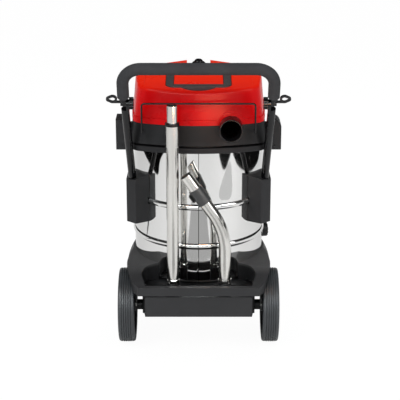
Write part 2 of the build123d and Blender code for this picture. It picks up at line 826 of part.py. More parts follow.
with BuildPart() as turbine_housing:
    with Locations((0, 0, head_plate_z)):
        Cylinder(turbine_radius, turbine_height, align=(Align.CENTER, Align.CENTER, Align.MIN))
    fillet(turbine_housing.edges().group_by(Axis.Z)[-1], 8)
    with Locations((0, 0, head_plate_z + 3)):
        Cylinder(
            turbine_radius - 3,
            turbine_height - 6,
            align=(Align.CENTER, Align.CENTER, Align.MIN),
            mode=Mode.SUBTRACT,
        )
    with Locations((0, 0, head_plate_z)):
        Cylinder(30, 6, mode=Mode.SUBTRACT)
        Cylinder(shaft_radius + 4, 2 * turbine_height + 10, mode=Mode.SUBTRACT)
    with BuildSketch(Plane.XZ.offset(0)):
        with Locations((0, head_plate_z + turbine_height / 2)):
            Rectangle(30, turbine_height - 14)
    extrude(amount=turbine_radius + 5, mode=Mode.SUBTRACT)
finish(turbine_housing.part, "turbine_housing")

with BuildPart() as motor_can:
    with Locations((0, 0, turbine_top_z)):
        Cylinder(motor_radius, motor_height, align=(Align.CENTER, Align.CENTER, Align.MIN))
    fillet(motor_can.edges().group_by(Axis.Z)[-1], 8)
    with Locations((0, 0, turbine_top_z)):
        Cylinder(
            motor_radius - 2.5,
            motor_height - 4,
            align=(Align.CENTER, Align.CENTER, Align.MIN),
            mode=Mode.SUBTRACT,
        )
    with PolarLocations(motor_radius, 8):
        with Locations((0, 0, motor_top_z - 24)):
            Box(12, 9, 22, mode=Mode.SUBTRACT)
finish(motor_can.part, "motor_can")

with BuildPart() as motor_stator:
    with BuildSketch(Plane.XY.offset(turbine_top_z + 18)):
        Circle(motor_radius - 2.5)
        Circle(31, mode=Mode.SUBTRACT)
        with PolarLocations(39, 2):
            Rectangle(7, 30, mode=Mode.SUBTRACT)
    extrude(amount=38)
finish(motor_stator.part, "motor_stator")

with BuildPart() as motor_bearings:
    for bearing_z in (turbine_top_z + fit_gap, motor_top_z - 4 - 8):
        with BuildSketch(Plane.XY.offset(bearing_z)):
            Circle(13)
            Circle(shaft_radius + run_gap, mode=Mode.SUBTRACT)
        extrude(amount=8 - fit_gap)
finish(motor_bearings.part, "motor_bearings")

with BuildPart() as motor_rotor:
    with Locations((0, 0, head_plate_z + 8)):
        Cylinder(
            shaft_radius,
            motor_top_z - 6 - head_plate_z - 8,
            align=(Align.CENTER, Align.CENTER, Align.MIN),
        )
    with BuildSketch(Plane.XY.offset(turbine_top_z + 18)):
        Circle(30)
        with PolarLocations(29, 12):
            Rectangle(6, 3, mode=Mode.SUBTRACT)
    extrude(amount=38)
    with Locations((0, 0, turbine_top_z + 60)):
        Cylinder(13, 9, align=(Align.CENTER, Align.CENTER, Align.MIN))
finish(motor_rotor.part, "motor_rotor")

with BuildPart() as impeller:
    for plate_z in (head_plate_z + 8, head_plate_z + turbine_height - 9):
        with BuildSketch(Plane.XY.offset(plate_z)):
            Circle(impeller_radius)
            Circle(24 if plate_z == head_plate_z + 8 else shaft_radius, mode=Mode.SUBTRACT)
        extrude(amount=1.5)
    with BuildSketch(Plane.XY.offset(head_plate_z + 9)):
        for blade in range(impeller_blades):
            with BuildLine(Plane.XY.rotated((0, 0, blade * 360 / impeller_blades))):
                blade_line = ThreePointArc((22, 0), (42, 12), (impeller_radius - 1, 12))
                offset(blade_line, amount=0.9, side=Side.BOTH)
            make_face()
    extrude(amount=turbine_height - 17)
    with BuildSketch(Plane.XY.offset(head_plate_z + 14)):
        Circle(11)
        Circle(shaft_radius, mode=Mode.SUBTRACT)
    extrude(amount=turbine_height - 22)
finish(impeller.part, "impeller")

# ---------------------------------------------------------------- filter and float under the head
cage_radius = 58.0
cage_rib = 5.0
cage_bottom_z = head_z - 148.0
cage_ribs = 8
float_radius = 46.0
float_height = 58.0
filter_inner = cage_radius + 5
filter_outer = 92.0
filter_pleats = 36
filter_height = 128.0
filter_end = 8.0

with BuildPart() as filter_cage:
    with BuildSketch(Plane.XY.offset(head_z - 5)):
        Circle(cage_radius + 1)
        Circle(suction_opening_radius - 8, mode=Mode.SUBTRACT)
    extrude(amount=5)
    with BuildSketch(Plane.XY.offset(cage_bottom_z)):
        with PolarLocations(cage_radius - cage_rib / 2, cage_ribs):
            Rectangle(cage_rib, cage_rib)
    extrude(amount=head_z - cage_bottom_z)
    with BuildSketch(Plane.XY.offset(cage_bottom_z)):
        Circle(cage_radius)
        with PolarLocations(cage_radius / 2, 6):
            Circle(11, mode=Mode.SUBTRACT)
    extrude(amount=4)
    with Locations((0, 0, cage_bottom_z - 22)):
        Cylinder(8, 24, align=(Align.CENTER, Align.CENTER, Align.MIN))
    with BuildSketch(Plane.XY.offset((head_z + cage_bottom_z) / 2)):
        Circle(cage_radius)
        Circle(cage_radius - cage_rib, mode=Mode.SUBTRACT)
    extrude(amount=4)
finish(filter_cage.part, "filter_cage")

with BuildPart() as float_cup:
    with Locations((0, 0, cage_bottom_z + 4 + fit_gap)):
        Cylinder(float_radius, float_height, align=(Align.CENTER, Align.CENTER, Align.MIN))
    fillet(float_cup.edges().group_by(Axis.Z)[-1], 10)
    with Locations((0, 0, cage_bottom_z + 4 + fit_gap)):
        Cylinder(
            float_radius - 3,
            float_height - 6,
            align=(Align.CENTER, Align.CENTER, Align.MIN),
            mode=Mode.SUBTRACT,
        )
finish(float_cup.part, "float_cup")

with BuildPart() as filter_cartridge:
    for end_z in (head_z - filter_end, head_z - filter_end - filter_height):
        with BuildSketch(Plane.XY.offset(end_z)):
            Circle(filter_outer + 2)
            Circle(filter_inner - 2, mode=Mode.SUBTRACT)
        extrude(amount=filter_end)
    with BuildSketch(Plane.XY.offset(head_z - filter_end - filter_height + filter_end)):
        with BuildLine():
            pleat_points = []
            for pleat in range(2 * filter_pleats):
                pleat_angle = pi * pleat / filter_pleats
                pleat_radius = filter_outer if pleat % 2 else filter_outer - 14
                pleat_points.append((pleat_radius * cos(pleat_angle), pleat_radius * sin(pleat_angle)))
            Polyline(*pleat_points, close=True)
        make_face()
        Circle(filter_outer - 18, mode=Mode.SUBTRACT)
    extrude(amount=filter_height - filter_end)
finish(filter_cartridge.part, "filter_cartridge")

filter_bottom_z = head_z - filter_end - filter_height
with BuildPart() as filter_cap:
    with Locations((0, 0, cage_bottom_z - 6)):
        Cylinder(
            filter_outer - 10,
            filter_bottom_z - cage_bottom_z + 6,
            align=(Align.CENTER, Align.CENTER, Align.MIN),
        )
    with Locations((0, 0, cage_bottom_z - fit_gap)):
        Cylinder(
            filter_outer - 14,
            filter_bottom_z - cage_bottom_z + 6,
            align=(Align.CENTER, Align.CENTER, Align.MIN),
            mode=Mode.SUBTRACT,
        )
    with BuildSketch(Plane.XY.offset(cage_bottom_z - 6)):
        SlotOverall(100, 16)
    extrude(amount=-14)
    with Locations((0, 0, cage_bottom_z - 30)):
        Cylinder(8 + run_gap, 60, mode=Mode.SUBTRACT)
finish(filter_cap.part, "filter_cap")

# ---------------------------------------------------------------- drain
with BuildPart() as drain_spigot:
    with BuildSketch(drain_plane.offset(-14)):
        Circle(drain_outer + drain_flange)
    extrude(amount=18)
    add(drum_room.part, mode=Mode.SUBTRACT)
    with BuildSketch(drain_plane.offset(-14)):
        Circle(drain_outer)
    extrude(amount=14 + drain_cap_height)
    with BuildSketch(drain_plane.offset(-20)):
        Circle(drain_bore / 2)
    extrude(amount=60, mode=Mode.SUBTRACT)
finish(drain_spigot.part, "drain_spigot")

with BuildPart() as drain_cap:
    with BuildSketch(drain_plane.offset(4.5)):
        Circle(drain_cap_diameter / 2)
        with PolarLocations(drain_cap_diameter / 2, 12):
            Circle(2.2, mode=Mode.SUBTRACT)
    extrude(amount=drain_cap_height)
    with BuildSketch(drain_plane.offset(4.5)):
        Circle(drain_outer + run_gap)
    extrude(amount=drain_cap_height - 4.5 + fit_gap, mode=Mode.SUBTRACT)
finish(drain_cap.part, "drain_cap")

# ---------------------------------------------------------------- chassis
arch_radius = wheel_radius + 5
skirt_side_x = arch_inner_x - 17
skirt_front_y = 90.0
rib_pitch = (skirt_side_x - 66) / 2
skirt_panel_y = tray_back_y + 5
tray_front_y = axle_y - tray_front_reach
tray_wall = 6.0
deck_front_y = -30.0
pod_radius = 24.0
pod_bottom_z = caster_wheel_diameter + 23.0
peg_spigot_height = 40.0
peg_spigot_radius = suction_tube_diameter / 2 - suction_tube_wall - 0.6

with BuildPart() as wheel_arches:
    for sign in sides.values():
        with BuildSketch(Plane.YZ.offset(sign * arch_inner_x)):
            with Locations((axle_y, axle_z)):
                Circle(arch_radius)
        extrude(amount=sign * 80)

with BuildPart() as chassis:
    # cradle that the drum stands in
    with BuildSketch(Plane.XZ):
        with BuildLine():
            foot_z = chassis_under_z - 20
            Polyline(
                (0, tank_floor_z),
                (0, chassis_under_z),
                (cradle_foot_radius - 12, chassis_under_z),
                (cradle_foot_radius - cradle_wall + 1, foot_z),
                (cradle_foot_radius, foot_z),
            )
            Spline(
                (cradle_foot_radius, foot_z),
                (cradle_foot_radius - 4, chassis_under_z + 24),
                (tank_radius + fit_gap + cradle_wall, cradle_top_z),
                tangents=((0, 1), (-0.6, 1)),
            )
            Polyline(
                (tank_radius + fit_gap + cradle_wall, cradle_top_z),
                (tank_radius + fit_gap, cradle_top_z),
                (tank_radius + fit_gap, tank_floor_z),
                (0, tank_floor_z),
            )
        make_face()
    revolve(axis=Axis.Z)
    # deck behind the drum with its two wings over the wheels
    with BuildSketch(Plane.XY.offset(lip_top_z - lip_height)):
        with BuildLine():
            corner_point = (tray_half_width + 19, tray_back_y)
            shoulder = (wing_half_width - 11, deck_front_y)
            Line((0, tray_back_y), corner_point)
            Spline(
                corner_point,
                (wing_half_width - 15, tray_back_y + 47),
                (wing_half_width, axle_y),
                shoulder,
                tangents=((0.5, 0.8), (-0.15, 1)),
            )
            Line(shoulder, (0, deck_front_y))
            Line((0, deck_front_y), (0, tray_back_y))
        make_face()
        mirror(about=Plane.YZ)
    extrude(amount=cradle_top_z - lip_top_z + lip_height)
    with BuildSketch(Plane.YZ):
        with BuildLine():
            Polyline(
                (tray_back_y - 40, lip_top_z - 6),
                (tray_back_y, lip_top_z),
                (axle_y, cradle_top_z - 3),
                (deck_front_y, cradle_top_z),
                (deck_front_y, cradle_top_z + 60),
                (tray_back_y - 40, cradle_top_z + 60),
                close=True,
            )
        make_face()
    extrude(amount=300, both=True, mode=Mode.SUBTRACT)
    # skirt under the tray
    with BuildSketch(Plane.XY.offset(axle_z - 16)):
        with BuildLine():
            Polyline(
                (0, skirt_panel_y),
                (tray_half_width, skirt_panel_y),
                (skirt_side_x, axle_y - 34),
                (skirt_side_x, axle_y + 40),
                (skirt_side_x - 34, deck_front_y),
                (skirt_side_x - 50, skirt_front_y),
                (0, skirt_front_y),
                close=True,
            )
        make_face()
        mirror(about=Plane.YZ)
    extrude(amount=tank_floor_z - axle_z + 16)
    with BuildSketch(Plane.YZ):
        with BuildLine():
            Polyline(
                (skirt_panel_y - 5, skirt_bottom_z),
                (axle_y - 62, skirt_bottom_z - 2),
                (axle_y - 28, axle_z - 16),
                (axle_y + 28, axle_z - 16),
                (axle_y + 70, skirt_bottom_z + 10),
                (100, skirt_bottom_z + 30),
                (100, 0),
                (skirt_panel_y - 5, 0),
                close=True,
            )
        make_face()
    extrude(amount=300, both=True, mode=Mode.SUBTRACT)
    # the skirt is open below, less far up under the tray, and stiffened by ribs
    with BuildSketch():
        with BuildLine():
            Polyline(
                (0, tray_front_y + tray_wall),
                (skirt_side_x - skirt_wall, tray_front_y + tray_wall),
                (skirt_side_x - skirt_wall, axle_y + 40),
                (skirt_side_x - 34 - skirt_wall, deck_front_y),
                (skirt_side_x - 50 - skirt_wall, skirt_front_y - skirt_wall),
                (0, skirt_front_y - skirt_wall),
                close=True,
            )
        make_face()
        mirror(about=Plane.YZ)
    extrude(amount=chassis_under_z, mode=Mode.SUBTRACT)
    with BuildSketch():
        with BuildLine():
            Polyline(
                (0, skirt_panel_y + skirt_wall),
                (tray_half_width - skirt_wall, skirt_panel_y + skirt_wall),
                (skirt_side_x - skirt_wall, axle_y - 34),
                (skirt_side_x - skirt_wall, axle_y),
                (0, axle_y),
                close=True,
            )
        make_face()
        mirror(about=Plane.YZ)
    extrude(amount=tray_floor_z - chassis_floor, mode=Mode.SUBTRACT)
    for rib in range(-2, 3):
        with Locations((rib * rib_pitch, (skirt_panel_y + skirt_front_y) / 2, chassis_under_z - 12)):
            Box(3, skirt_front_y - skirt_panel_y - 2, 26)
    for rib_y in (axle_y, -90, 0):
        with Locations((0, rib_y, chassis_under_z - 12)):
            Box(2 * (skirt_side_x - 54), 3, 26)
    # axle bearings outside and two plates inside
    with BuildSketch(Plane.YZ.offset(0)):
        with Locations((axle_y, axle_z)):
            Circle(15)
    extrude(amount=arch_inner_x + 1.5, both=True)
    with Locations((0, axle_y, axle_z)):
        Box(2 * (skirt_side_x - skirt_wall), 60, 60, mode=Mode.SUBTRACT)
    for plate_x in (-72, 72):
        with BuildSketch(Plane.YZ.offset(plate_x - 2)):
            with Locations((axle_y, axle_z)):
                Circle(16)
            with Locations((axle_y, (axle_z + chassis_under_z) / 2 + 2)):
                Rectangle(32, chassis_under_z - axle_z + 4)
        extrude(amount=4)
    add(wheel_arches.part, mode=Mode.SUBTRACT)
    add(drum_room.part, mode=Mode.SUBTRACT)
    # pods for the casters
    with Locations((-caster_x, caster_y, pod_bottom_z), (caster_x, caster_y, pod_bottom_z)):
        Cylinder(
            pod_radius,
            chassis_under_z - pod_bottom_z + 2,
            align=(Align.CENTER, Align.CENTER, Align.MIN),
        )
        Cylinder(
            caster_stem_diameter / 2 + run_gap,
            caster_stem_length + 2,
            align=(Align.CENTER, Align.CENTER, Align.MIN),
            mode=Mode.SUBTRACT,
        )
    # open tray behind the drum, on the same level as the drum's floor
    with BuildSketch(Plane.XY.offset(tank_floor_z)):
        with BuildLine():
            tray_root = (112, -150)
            tray_wide = (tray_half_width + 12, -215)
            tray_corner = (tray_half_width, tray_back_y + tray_lip)
            Line((0, -100), (100, -100))
            Line((100, -100), tray_root)
            Spline(tray_root, tray_wide, tray_corner, tangents=((0.9, -0.3), (-0.12, -1)))
            Line(tray_corner, (0, tray_corner[1]))
            Line((0, tray_corner[1]), (0, -100))
        make_face()
        mirror(about=Plane.YZ)
    extrude(amount=200, mode=Mode.SUBTRACT)
    # its rear part is a trough
    with BuildSketch(Plane.XY.offset(tray_floor_z)):
        with BuildLine():
            Polyline(
                (0, tray_front_y),
                (skirt_side_x - tray_wall, tray_front_y),
                (skirt_side_x - tray_wall, axle_y - 34),
                (tray_half_width - tray_wall + 1, tray_back_y + tray_lip),
                (0, tray_back_y + tray_lip),
                close=True,
            )
        make_face()
        mirror(about=Plane.YZ)
    extrude(amount=tank_floor_z - tray_floor_z + 1, mode=Mode.SUBTRACT)
    with Locations((0, axle_y, axle_z)):
        Cylinder(axle_diameter / 2 + run_gap, 500, rotation=(0, 90, 0), mode=Mode.SUBTRACT)
    # pegs that the stored tubes stand on
    with Locations((straight_tube_x, stored_tube_y, tray_floor_z), (wand_x, stored_tube_y, tray_floor_z)):
        Cylinder(
            suction_tube_diameter / 2 + 1.5,
            stored_tube_z - tray_floor_z,
            align=(Align.CENTER, Align.CENTER, Align.MIN),
        )
        Cylinder(
            peg_spigot_radius,
            stored_tube_z - tray_floor_z + peg_spigot_height,
            align=(Align.CENTER, Align.CENTER, Align.MIN),
        )
finish(chassis.part, "chassis")

# ---------------------------------------------------------------- rear axle and wheels
rim_radius = wheel_radius - tyre_thickness
rim_width = wheel_width - 5
hub_radius = 20.0
hub_cap_height = 9.0
hub_recess = 10.0
spoke_count = 6
groove_depth = 2.4
groove_gap = 2.6
axle_end_x = wheel_track / 2 + wheel_width / 2 - hub_recess + 5

with BuildPart() as rear_axle:
    with Locations((0, axle_y, axle_z)):
        Cylinder(axle_diameter / 2, 2 * axle_end_x, rotation=(0, 90, 0))
    chamfer(rear_axle.edges().filter_by(GeomType.CIRCLE), 1)
finish(rear_axle.part, "rear_axle")

with BuildPart() as axle_clips:
    for sign in sides.values():
        clip_x = sign * (wheel_track / 2 + wheel_width / 2 - hub_recess + fit_gap)
        with BuildSketch(Plane.YZ.offset(clip_x)):
            with Locations((axle_y, axle_z)):
                Circle(11)
                Circle(axle_diameter / 2, mode=Mode.SUBTRACT)
        extrude(amount=sign * 1.5)
finish(axle_clips.part, "axle_clips")

for side, sign in sides.items():
    wheel_plane = Plane(
        origin=(sign * wheel_track / 2, axle_y, axle_z), x_dir=(0, 1, 0), z_dir=(sign, 0, 0)
    )
    with BuildPart(wheel_plane) as rim:
        Cylinder(rim_radius, rim_width)
        Cylinder(rim_radius - 6, rim_width, mode=Mode.SUBTRACT)
        Cylinder(rim_radius, 6)
        for spoke in range(spoke_count):
            spoke_angle = spoke * 360 / spoke_count
            with PolarLocations((rim_radius + hub_radius) / 2 - 3, 1, start_angle=spoke_angle):
                Box(rim_radius - hub_radius, 5, wheel_width - 2 * hub_recess - 2)
            with PolarLocations(rim_radius - 26, 1, start_angle=spoke_angle + 180 / spoke_count):
                Cylinder(13, rim_width, mode=Mode.SUBTRACT)
        with Locations((0, 0, -hub_recess / 2)):
            Cylinder(hub_radius, wheel_width - hub_recess)
        Cylinder(axle_diameter / 2 + run_gap, 2 * wheel_width, mode=Mode.SUBTRACT)
    finish(rim.part, f"wheel_rim_{side}")

    with BuildPart() as tyre:
        with BuildSketch(Plane.XY.offset(axle_z)):
            with Locations((sign * wheel_track / 2, axle_y + (rim_radius + wheel_radius) / 2)):
                RectangleRounded(wheel_width, tyre_thickness, 5)
            rib_pitch = (wheel_width - 8) / tyre_rib_count
            for rib in range(1, tyre_rib_count):
                with Locations(
                    (
                        sign * wheel_track / 2 + (rib - tyre_rib_count / 2) * rib_pitch,
                        axle_y + wheel_radius - groove_depth / 2,
                    )
                ):
                    Rectangle(groove_gap, groove_depth, mode=Mode.SUBTRACT)
        revolve(axis=Axis((0, axle_y, axle_z), (1, 0, 0)))
    finish(tyre.part, f"tyre_{side}")

    with BuildPart(wheel_plane) as hub_cap:
        with Locations((0, 0, wheel_width / 2 - hub_recess)):
            Cylinder(hub_radius, hub_cap_height, align=(Align.CENTER, Align.CENTER, Align.MIN))
        fillet(hub_cap.edges().filter_by(GeomType.CIRCLE).sort_by(Axis.X)[-1 if sign > 0 else 0], 3)
        with Locations((0, 0, wheel_width / 2 - hub_recess)):
            Cylinder(
                hub_radius - 3,
                hub_cap_height - 2.5,
                align=(Align.CENTER, Align.CENTER, Align.MIN),
                mode=Mode.SUBTRACT,
            )
    finish(hub_cap.part, f"hub_cap_{side}")

# ---------------------------------------------------------------- front casters
fork_inner = caster_wheel_width / 2 + 1.5
fork_sheet = 3.5
caster_wheel_radius = caster_wheel_diameter / 2
fork_top_z = pod_bottom_z - 1
wheel_bore = caster_pin_diameter / 2 + run_gap

for side, sign in sides.items():
    stem_at = (sign * caster_x, caster_y)
    wheel_at = (caster_y - caster_trail, caster_wheel_radius)
    with BuildPart() as caster_fork:
        for arm in (-1, 1):
            arm_plane = Plane.YZ.offset(sign * caster_x + arm * (fork_inner + fork_sheet / 2))
            with BuildSketch(arm_plane):
                with Locations(wheel_at):
                    Circle(10)
                with BuildLine():
                    Polyline(
                        (wheel_at[0] - 10, wheel_at[1] + 1),
                        (caster_y - 19, fork_top_z),
                        (caster_y + 19, fork_top_z),
                        (caster_y + 12, fork_top_z - 16),
                        (wheel_at[0] + 9.5, wheel_at[1] - 3),
                        close=True,
                    )
                make_face()
            extrude(amount=fork_sheet / 2, both=True)
        with BuildSketch(Plane.XY.offset(fork_top_z)):
            with Locations(stem_at):
                Circle(22)
        extrude(amount=-7)
        with BuildSketch(Plane.XY.offset(fork_top_z)):
            with Locations(stem_at):
                Circle(caster_stem_diameter / 2)
        extrude(amount=caster_stem_length)
        with Locations((sign * caster_x, wheel_at[0], wheel_at[1])):
            Cylinder(caster_pin_diameter / 2, 2 * (fork_inner + fork_sheet), rotation=(0, 90, 0))
            Cylinder(caster_pin_diameter / 2 + 2, 2 * fork_inner + 2 * fork_sheet + 3, rotation=(0, 90, 0))
            Cylinder(caster_pin_diameter / 2 + 3, 2 * fork_inner, rotation=(0, 90, 0), mode=Mode.SUBTRACT)
            Cylinder(caster_pin_diameter / 2, 2 * fork_inner, rotation=(0, 90, 0))
    finish(caster_fork.part, f"caster_fork_{side}")

    caster_plane = Plane(
        origin=(sign * caster_x, wheel_at[0], wheel_at[1]), x_dir=(0, 1, 0), z_dir=(1, 0, 0)
    )
    with BuildPart(caster_plane) as caster_wheel:
        Cylinder(caster_wheel_radius, caster_wheel_width)
        fillet(caster_wheel.edges().filter_by(GeomType.CIRCLE), 5)
        for face_z in (-1, 1):
            with Locations((0, 0, face_z * caster_wheel_width / 2)):
                Cylinder(caster_wheel_radius - 11, 8, mode=Mode.SUBTRACT)
        Cylinder(9, caster_wheel_width)
        Cylinder(wheel_bore, 2 * caster_wheel_width, mode=Mode.SUBTRACT)
    finish(caster_wheel.part, f"caster_wheel_{side}")

# ---------------------------------------------------------------- handle brackets on the drum
bracket_nose_y = -152.0
bracket_shoulder_y = bracket_nose_y + bracket_nose
screw_heights = (bracket_bottom_z + 20, bracket_top_z - 30)

for side, sign in sides.items():
    with BuildPart() as bracket:
        with BuildSketch(Plane.XY.offset(bracket_bottom_z)):
            with BuildLine():
                Polyline(
                    (sign * bracket_inner_x, bracket_shoulder_y + 28),
                    (sign * bracket_inner_x, bracket_shoulder_y),
                    (sign * (bracket_outer_x - 27), bracket_nose_y),
                    (sign * bracket_outer_x, bracket_shoulder_y),
                    (sign * (bracket_outer_x - 1), -52),
                    (sign * (bracket_outer_x - 13), -36),
                    (sign * (tank_radius - 20), -36),
                    close=True,
                )
            make_face()
        extrude(amount=bracket_top_z + bracket_top_rise - bracket_bottom_z)
        fillet(bracket.edges().filter_by(Axis.Z).filter_by(lambda e: e.center().Y < -40), 3)
        with BuildSketch(Plane.XZ):
            with BuildLine():
                Polyline(
                    (sign * bracket_inner_x, bracket_top_z + bracket_top_rise),
                    (sign * bracket_outer_x, bracket_top_z),
                    (sign * (bracket_outer_x + 5), bracket_top_z - 1),
                    (sign * (bracket_outer_x + 5), bracket_top_z + 60),
                    (sign * bracket_inner_x, bracket_top_z + 60),
                    close=True,
                )
            make_face()
        extrude(amount=300, mode=Mode.SUBTRACT)
        add(drum_room.part, mode=Mode.SUBTRACT)
        with Locations((0, 0, tank_bead_heights[1])):
            Cylinder(tank_radius + tank_bead_out + fit_gap, 2 * tank_bead_half + 2, mode=Mode.SUBTRACT)
        tube_plane = Plane(handle_plane.location * lower_tube_place(sign))
        with BuildSketch(tube_plane.offset(-handle_lower_length)):
            Circle(handle_tube_diameter / 2 + run_gap)
        extrude(amount=handle_lower_length, mode=Mode.SUBTRACT)
        with BuildSketch(Plane.YZ.offset(sign * 100)):
            with Locations(*[(bracket_screw_y, screw_z) for screw_z in screw_heights]):
                Circle(screw_diameter / 2 + 2 * run_gap)
        extrude(amount=sign * 150, mode=Mode.SUBTRACT)
    finish(bracket.part, f"handle_bracket_{side}")

with BuildPart() as bracket_screws:
    for sign in sides.values():
        with BuildSketch(Plane.YZ.offset(sign * (tank_radius - 12))):
            with Locations(*[(bracket_screw_y, screw_z) for screw_z in screw_heights]):
                Circle(screw_diameter / 2)
        extrude(amount=sign * (bracket_outer_x - tank_radius + 12))
        with BuildSketch(Plane.YZ.offset(sign * bracket_outer_x)):
            with Locations(*[(bracket_screw_y, screw_z) for screw_z in screw_heights]):
                Circle(screw_head_radius)
        extrude(amount=sign * screw_diameter / 2)
finish(bracket_screws.part, "bracket_screws")

# ---------------------------------------------------------------- push handle
tongue_seam = handle_lower_x - 4.0
tongue_drop = 30.0
tongue_width = handle_tube_diameter
bolt_outer_x = tongue_seam + fit_gap + tongue_thickness

for side, sign in sides.items():
    with BuildPart(handle_plane) as lower_tube:
        with Locations(lower_tube_place(sign)):
            with Locations((0, 0, -handle_lower_length)):
                Cylinder(
                    handle_tube_diameter / 2,
                    handle_lower_length - tongue_drop + 12,
                    align=(Align.CENTER, Align.CENTER, Align.MIN),
                )
                Cylinder(
                    handle_tube_diameter / 2 - handle_tube_wall,
                    handle_lower_length - tongue_drop - 8,
                    align=(Align.CENTER, Align.CENTER, Align.MIN),
                    mode=Mode.SUBTRACT,
                )
        with Locations((sign * (tongue_seam - tongue_thickness / 2), 0, -tongue_drop / 2)):
            Box(tongue_thickness, tongue_width, tongue_drop)
        with Locations((sign * (tongue_seam - tongue_thickness / 2), 0, 0)):
            Cylinder(tongue_width / 2, tongue_thickness, rotation=(0, 90, 0))
            Cylinder(clamp_bolt_diameter / 2 + run_gap, 80, rotation=(0, 90, 0), mode=Mode.SUBTRACT)
    finish(lower_tube.part, f"handle_tube_{side}")

    with BuildPart(handle_plane) as star_knob:
        knob_x = sign * (tongue_seam - tongue_thickness - fit_gap - star_knob_height / 2)
        with Locations((knob_x, 0, 0)):
            Cylinder(star_knob_diameter / 2 - 3, star_knob_height, rotation=(0, 90, 0))
        for lobe in range(star_knob_lobes):
            lobe_angle = 2 * pi * lobe / star_knob_lobes
            lobe_radius = star_knob_diameter / 2 - 4
            with Locations((knob_x, lobe_radius * cos(lobe_angle), lobe_radius * sin(lobe_angle))):
                Cylinder(4, star_knob_height, rotation=(0, 90, 0))
        with Locations((knob_x + sign * 4, 0, 0)):
            Cylinder(clamp_bolt_diameter / 2 + run_gap, star_knob_height, rotation=(0, 90, 0), mode=Mode.SUBTRACT)
    finish(star_knob.part, f"star_knob_{side}")

with BuildPart(handle_plane) as upper_handle:
    with BuildLine(handle_plane) as handle_path:
        FilletPolyline(
            (-handle_upper_x, 0, handle_tube_diameter / 2 + 2),
            (-handle_upper_x, 0, handle_upper_height),
            (handle_upper_x, 0, handle_upper_height),
            (handle_upper_x, 0, handle_tube_diameter / 2 + 2),
            radius=handle_bend,
        )
    with BuildSketch(handle_plane.offset(handle_tube_diameter / 2 + 2)):
        with Locations((-handle_upper_x, 0)):
            Circle(handle_tube_diameter / 2)
            Circle(handle_tube_diameter / 2 - handle_tube_wall, mode=Mode.SUBTRACT)
    sweep()
    for sign in sides.values():
        tongue_mid = sign * (tongue_seam + fit_gap + tongue_thickness / 2)
        with Locations((sign * handle_upper_x, 0, handle_tube_diameter / 2 + 3)):
            Cylinder(handle_tube_diameter / 2, 4)
        with Locations((tongue_mid, 0, handle_tube_diameter / 4 + 1)):
            Box(tongue_thickness, tongue_width, handle_tube_diameter / 2 + 2)
        with Locations((tongue_mid, 0, 0)):
            Cylinder(tongue_width / 2, tongue_thickness, rotation=(0, 90, 0))
            Cylinder(clamp_bolt_diameter / 2 + run_gap, 60, rotation=(0, 90, 0), mode=Mode.SUBTRACT)
finish(upper_handle.part, "upper_handle")

with BuildPart(handle_plane) as foam_grip:
    with BuildLine(handle_plane) as grip_path:
        FilletPolyline(
            (-handle_upper_x, 0, grip_start),
            (-handle_upper_x, 0, handle_upper_height),
            (handle_upper_x, 0, handle_upper_height),
            (handle_upper_x, 0, grip_start),
            radius=handle_bend,
        )
    with BuildSketch(handle_plane.offset(grip_start)):
        with Locations((-handle_upper_x, 0)):
            Circle(grip_diameter / 2)
            Circle(handle_tube_diameter / 2, mode=Mode.SUBTRACT)
    sweep()
finish(foam_grip.part, "foam_grip")

bolt_inner_x = tongue_seam - tongue_thickness - star_knob_height + 4
bolt_end = 4.0
bolt_length = bolt_outer_x + bolt_end - bolt_inner_x
# each cable hook is a hairpin loop on its clamp bolt, and reaches out past the foam
hook_bar = 5.5
hook_depth = 6.0
hook_root_radius = 12.5
hook_nose_radius = 7.5
hook_root_x = handle_upper_x + grip_diameter / 2 + hook_root_radius
hook_nose_x = hook_root_x + 10.5
hook_mid = 14.5
hook_plane = Plane(handle_plane.origin, x_dir=(1, 0, 0), z_dir=-handle_plane.y_dir)


def hook_outline(shrink):
    """Drop shape of a cable hook, wide at its root and narrow at its nose, drawn in by shrink."""
    with BuildSketch() as outline:
        with Locations((hook_root_x, hook_mid)):
            Circle(hook_root_radius - shrink)
        with Locations((hook_nose_x, hook_mid)):
            Circle(hook_nose_radius - shrink)
        make_hull()
    return outline.sketch


with BuildPart(handle_plane) as cable_hooks:
    for sign in sides.values():
        with Locations((sign * (bolt_outer_x + 3.5), 0, 0)):
            Cylinder(8, 7, rotation=(0, 90, 0))
        with Locations((sign * (bolt_inner_x + bolt_length / 2), 0, 0)):
            Cylinder(clamp_bolt_diameter / 2, bolt_length, rotation=(0, 90, 0))
    with BuildSketch(hook_plane):
        add(hook_outline(0))
        add(hook_outline(hook_bar), mode=Mode.SUBTRACT)
        with Locations(((bolt_outer_x + 4 + hook_root_x) / 2, hook_mid - hook_root_radius + hook_bar / 2)):
            Rectangle(hook_root_x - bolt_outer_x - 4, hook_bar)
        mirror(about=Plane.YZ)
    extrude(amount=hook_depth / 2, both=True)
finish(cable_hooks.part, "cable_hooks")

# ---------------------------------------------------------------- stored straight tube
tube_radius = suction_tube_diameter / 2
inner_tube_radius = 15.0
lock_radius = 20.0
lock_height = 9.0
inner_tube_overlap = 110.0
socket_z = stored_tube_z + straight_lower_length
lock_z = socket_z + straight_socket_length
inner_tube_top_z = lock_z + straight_upper_length

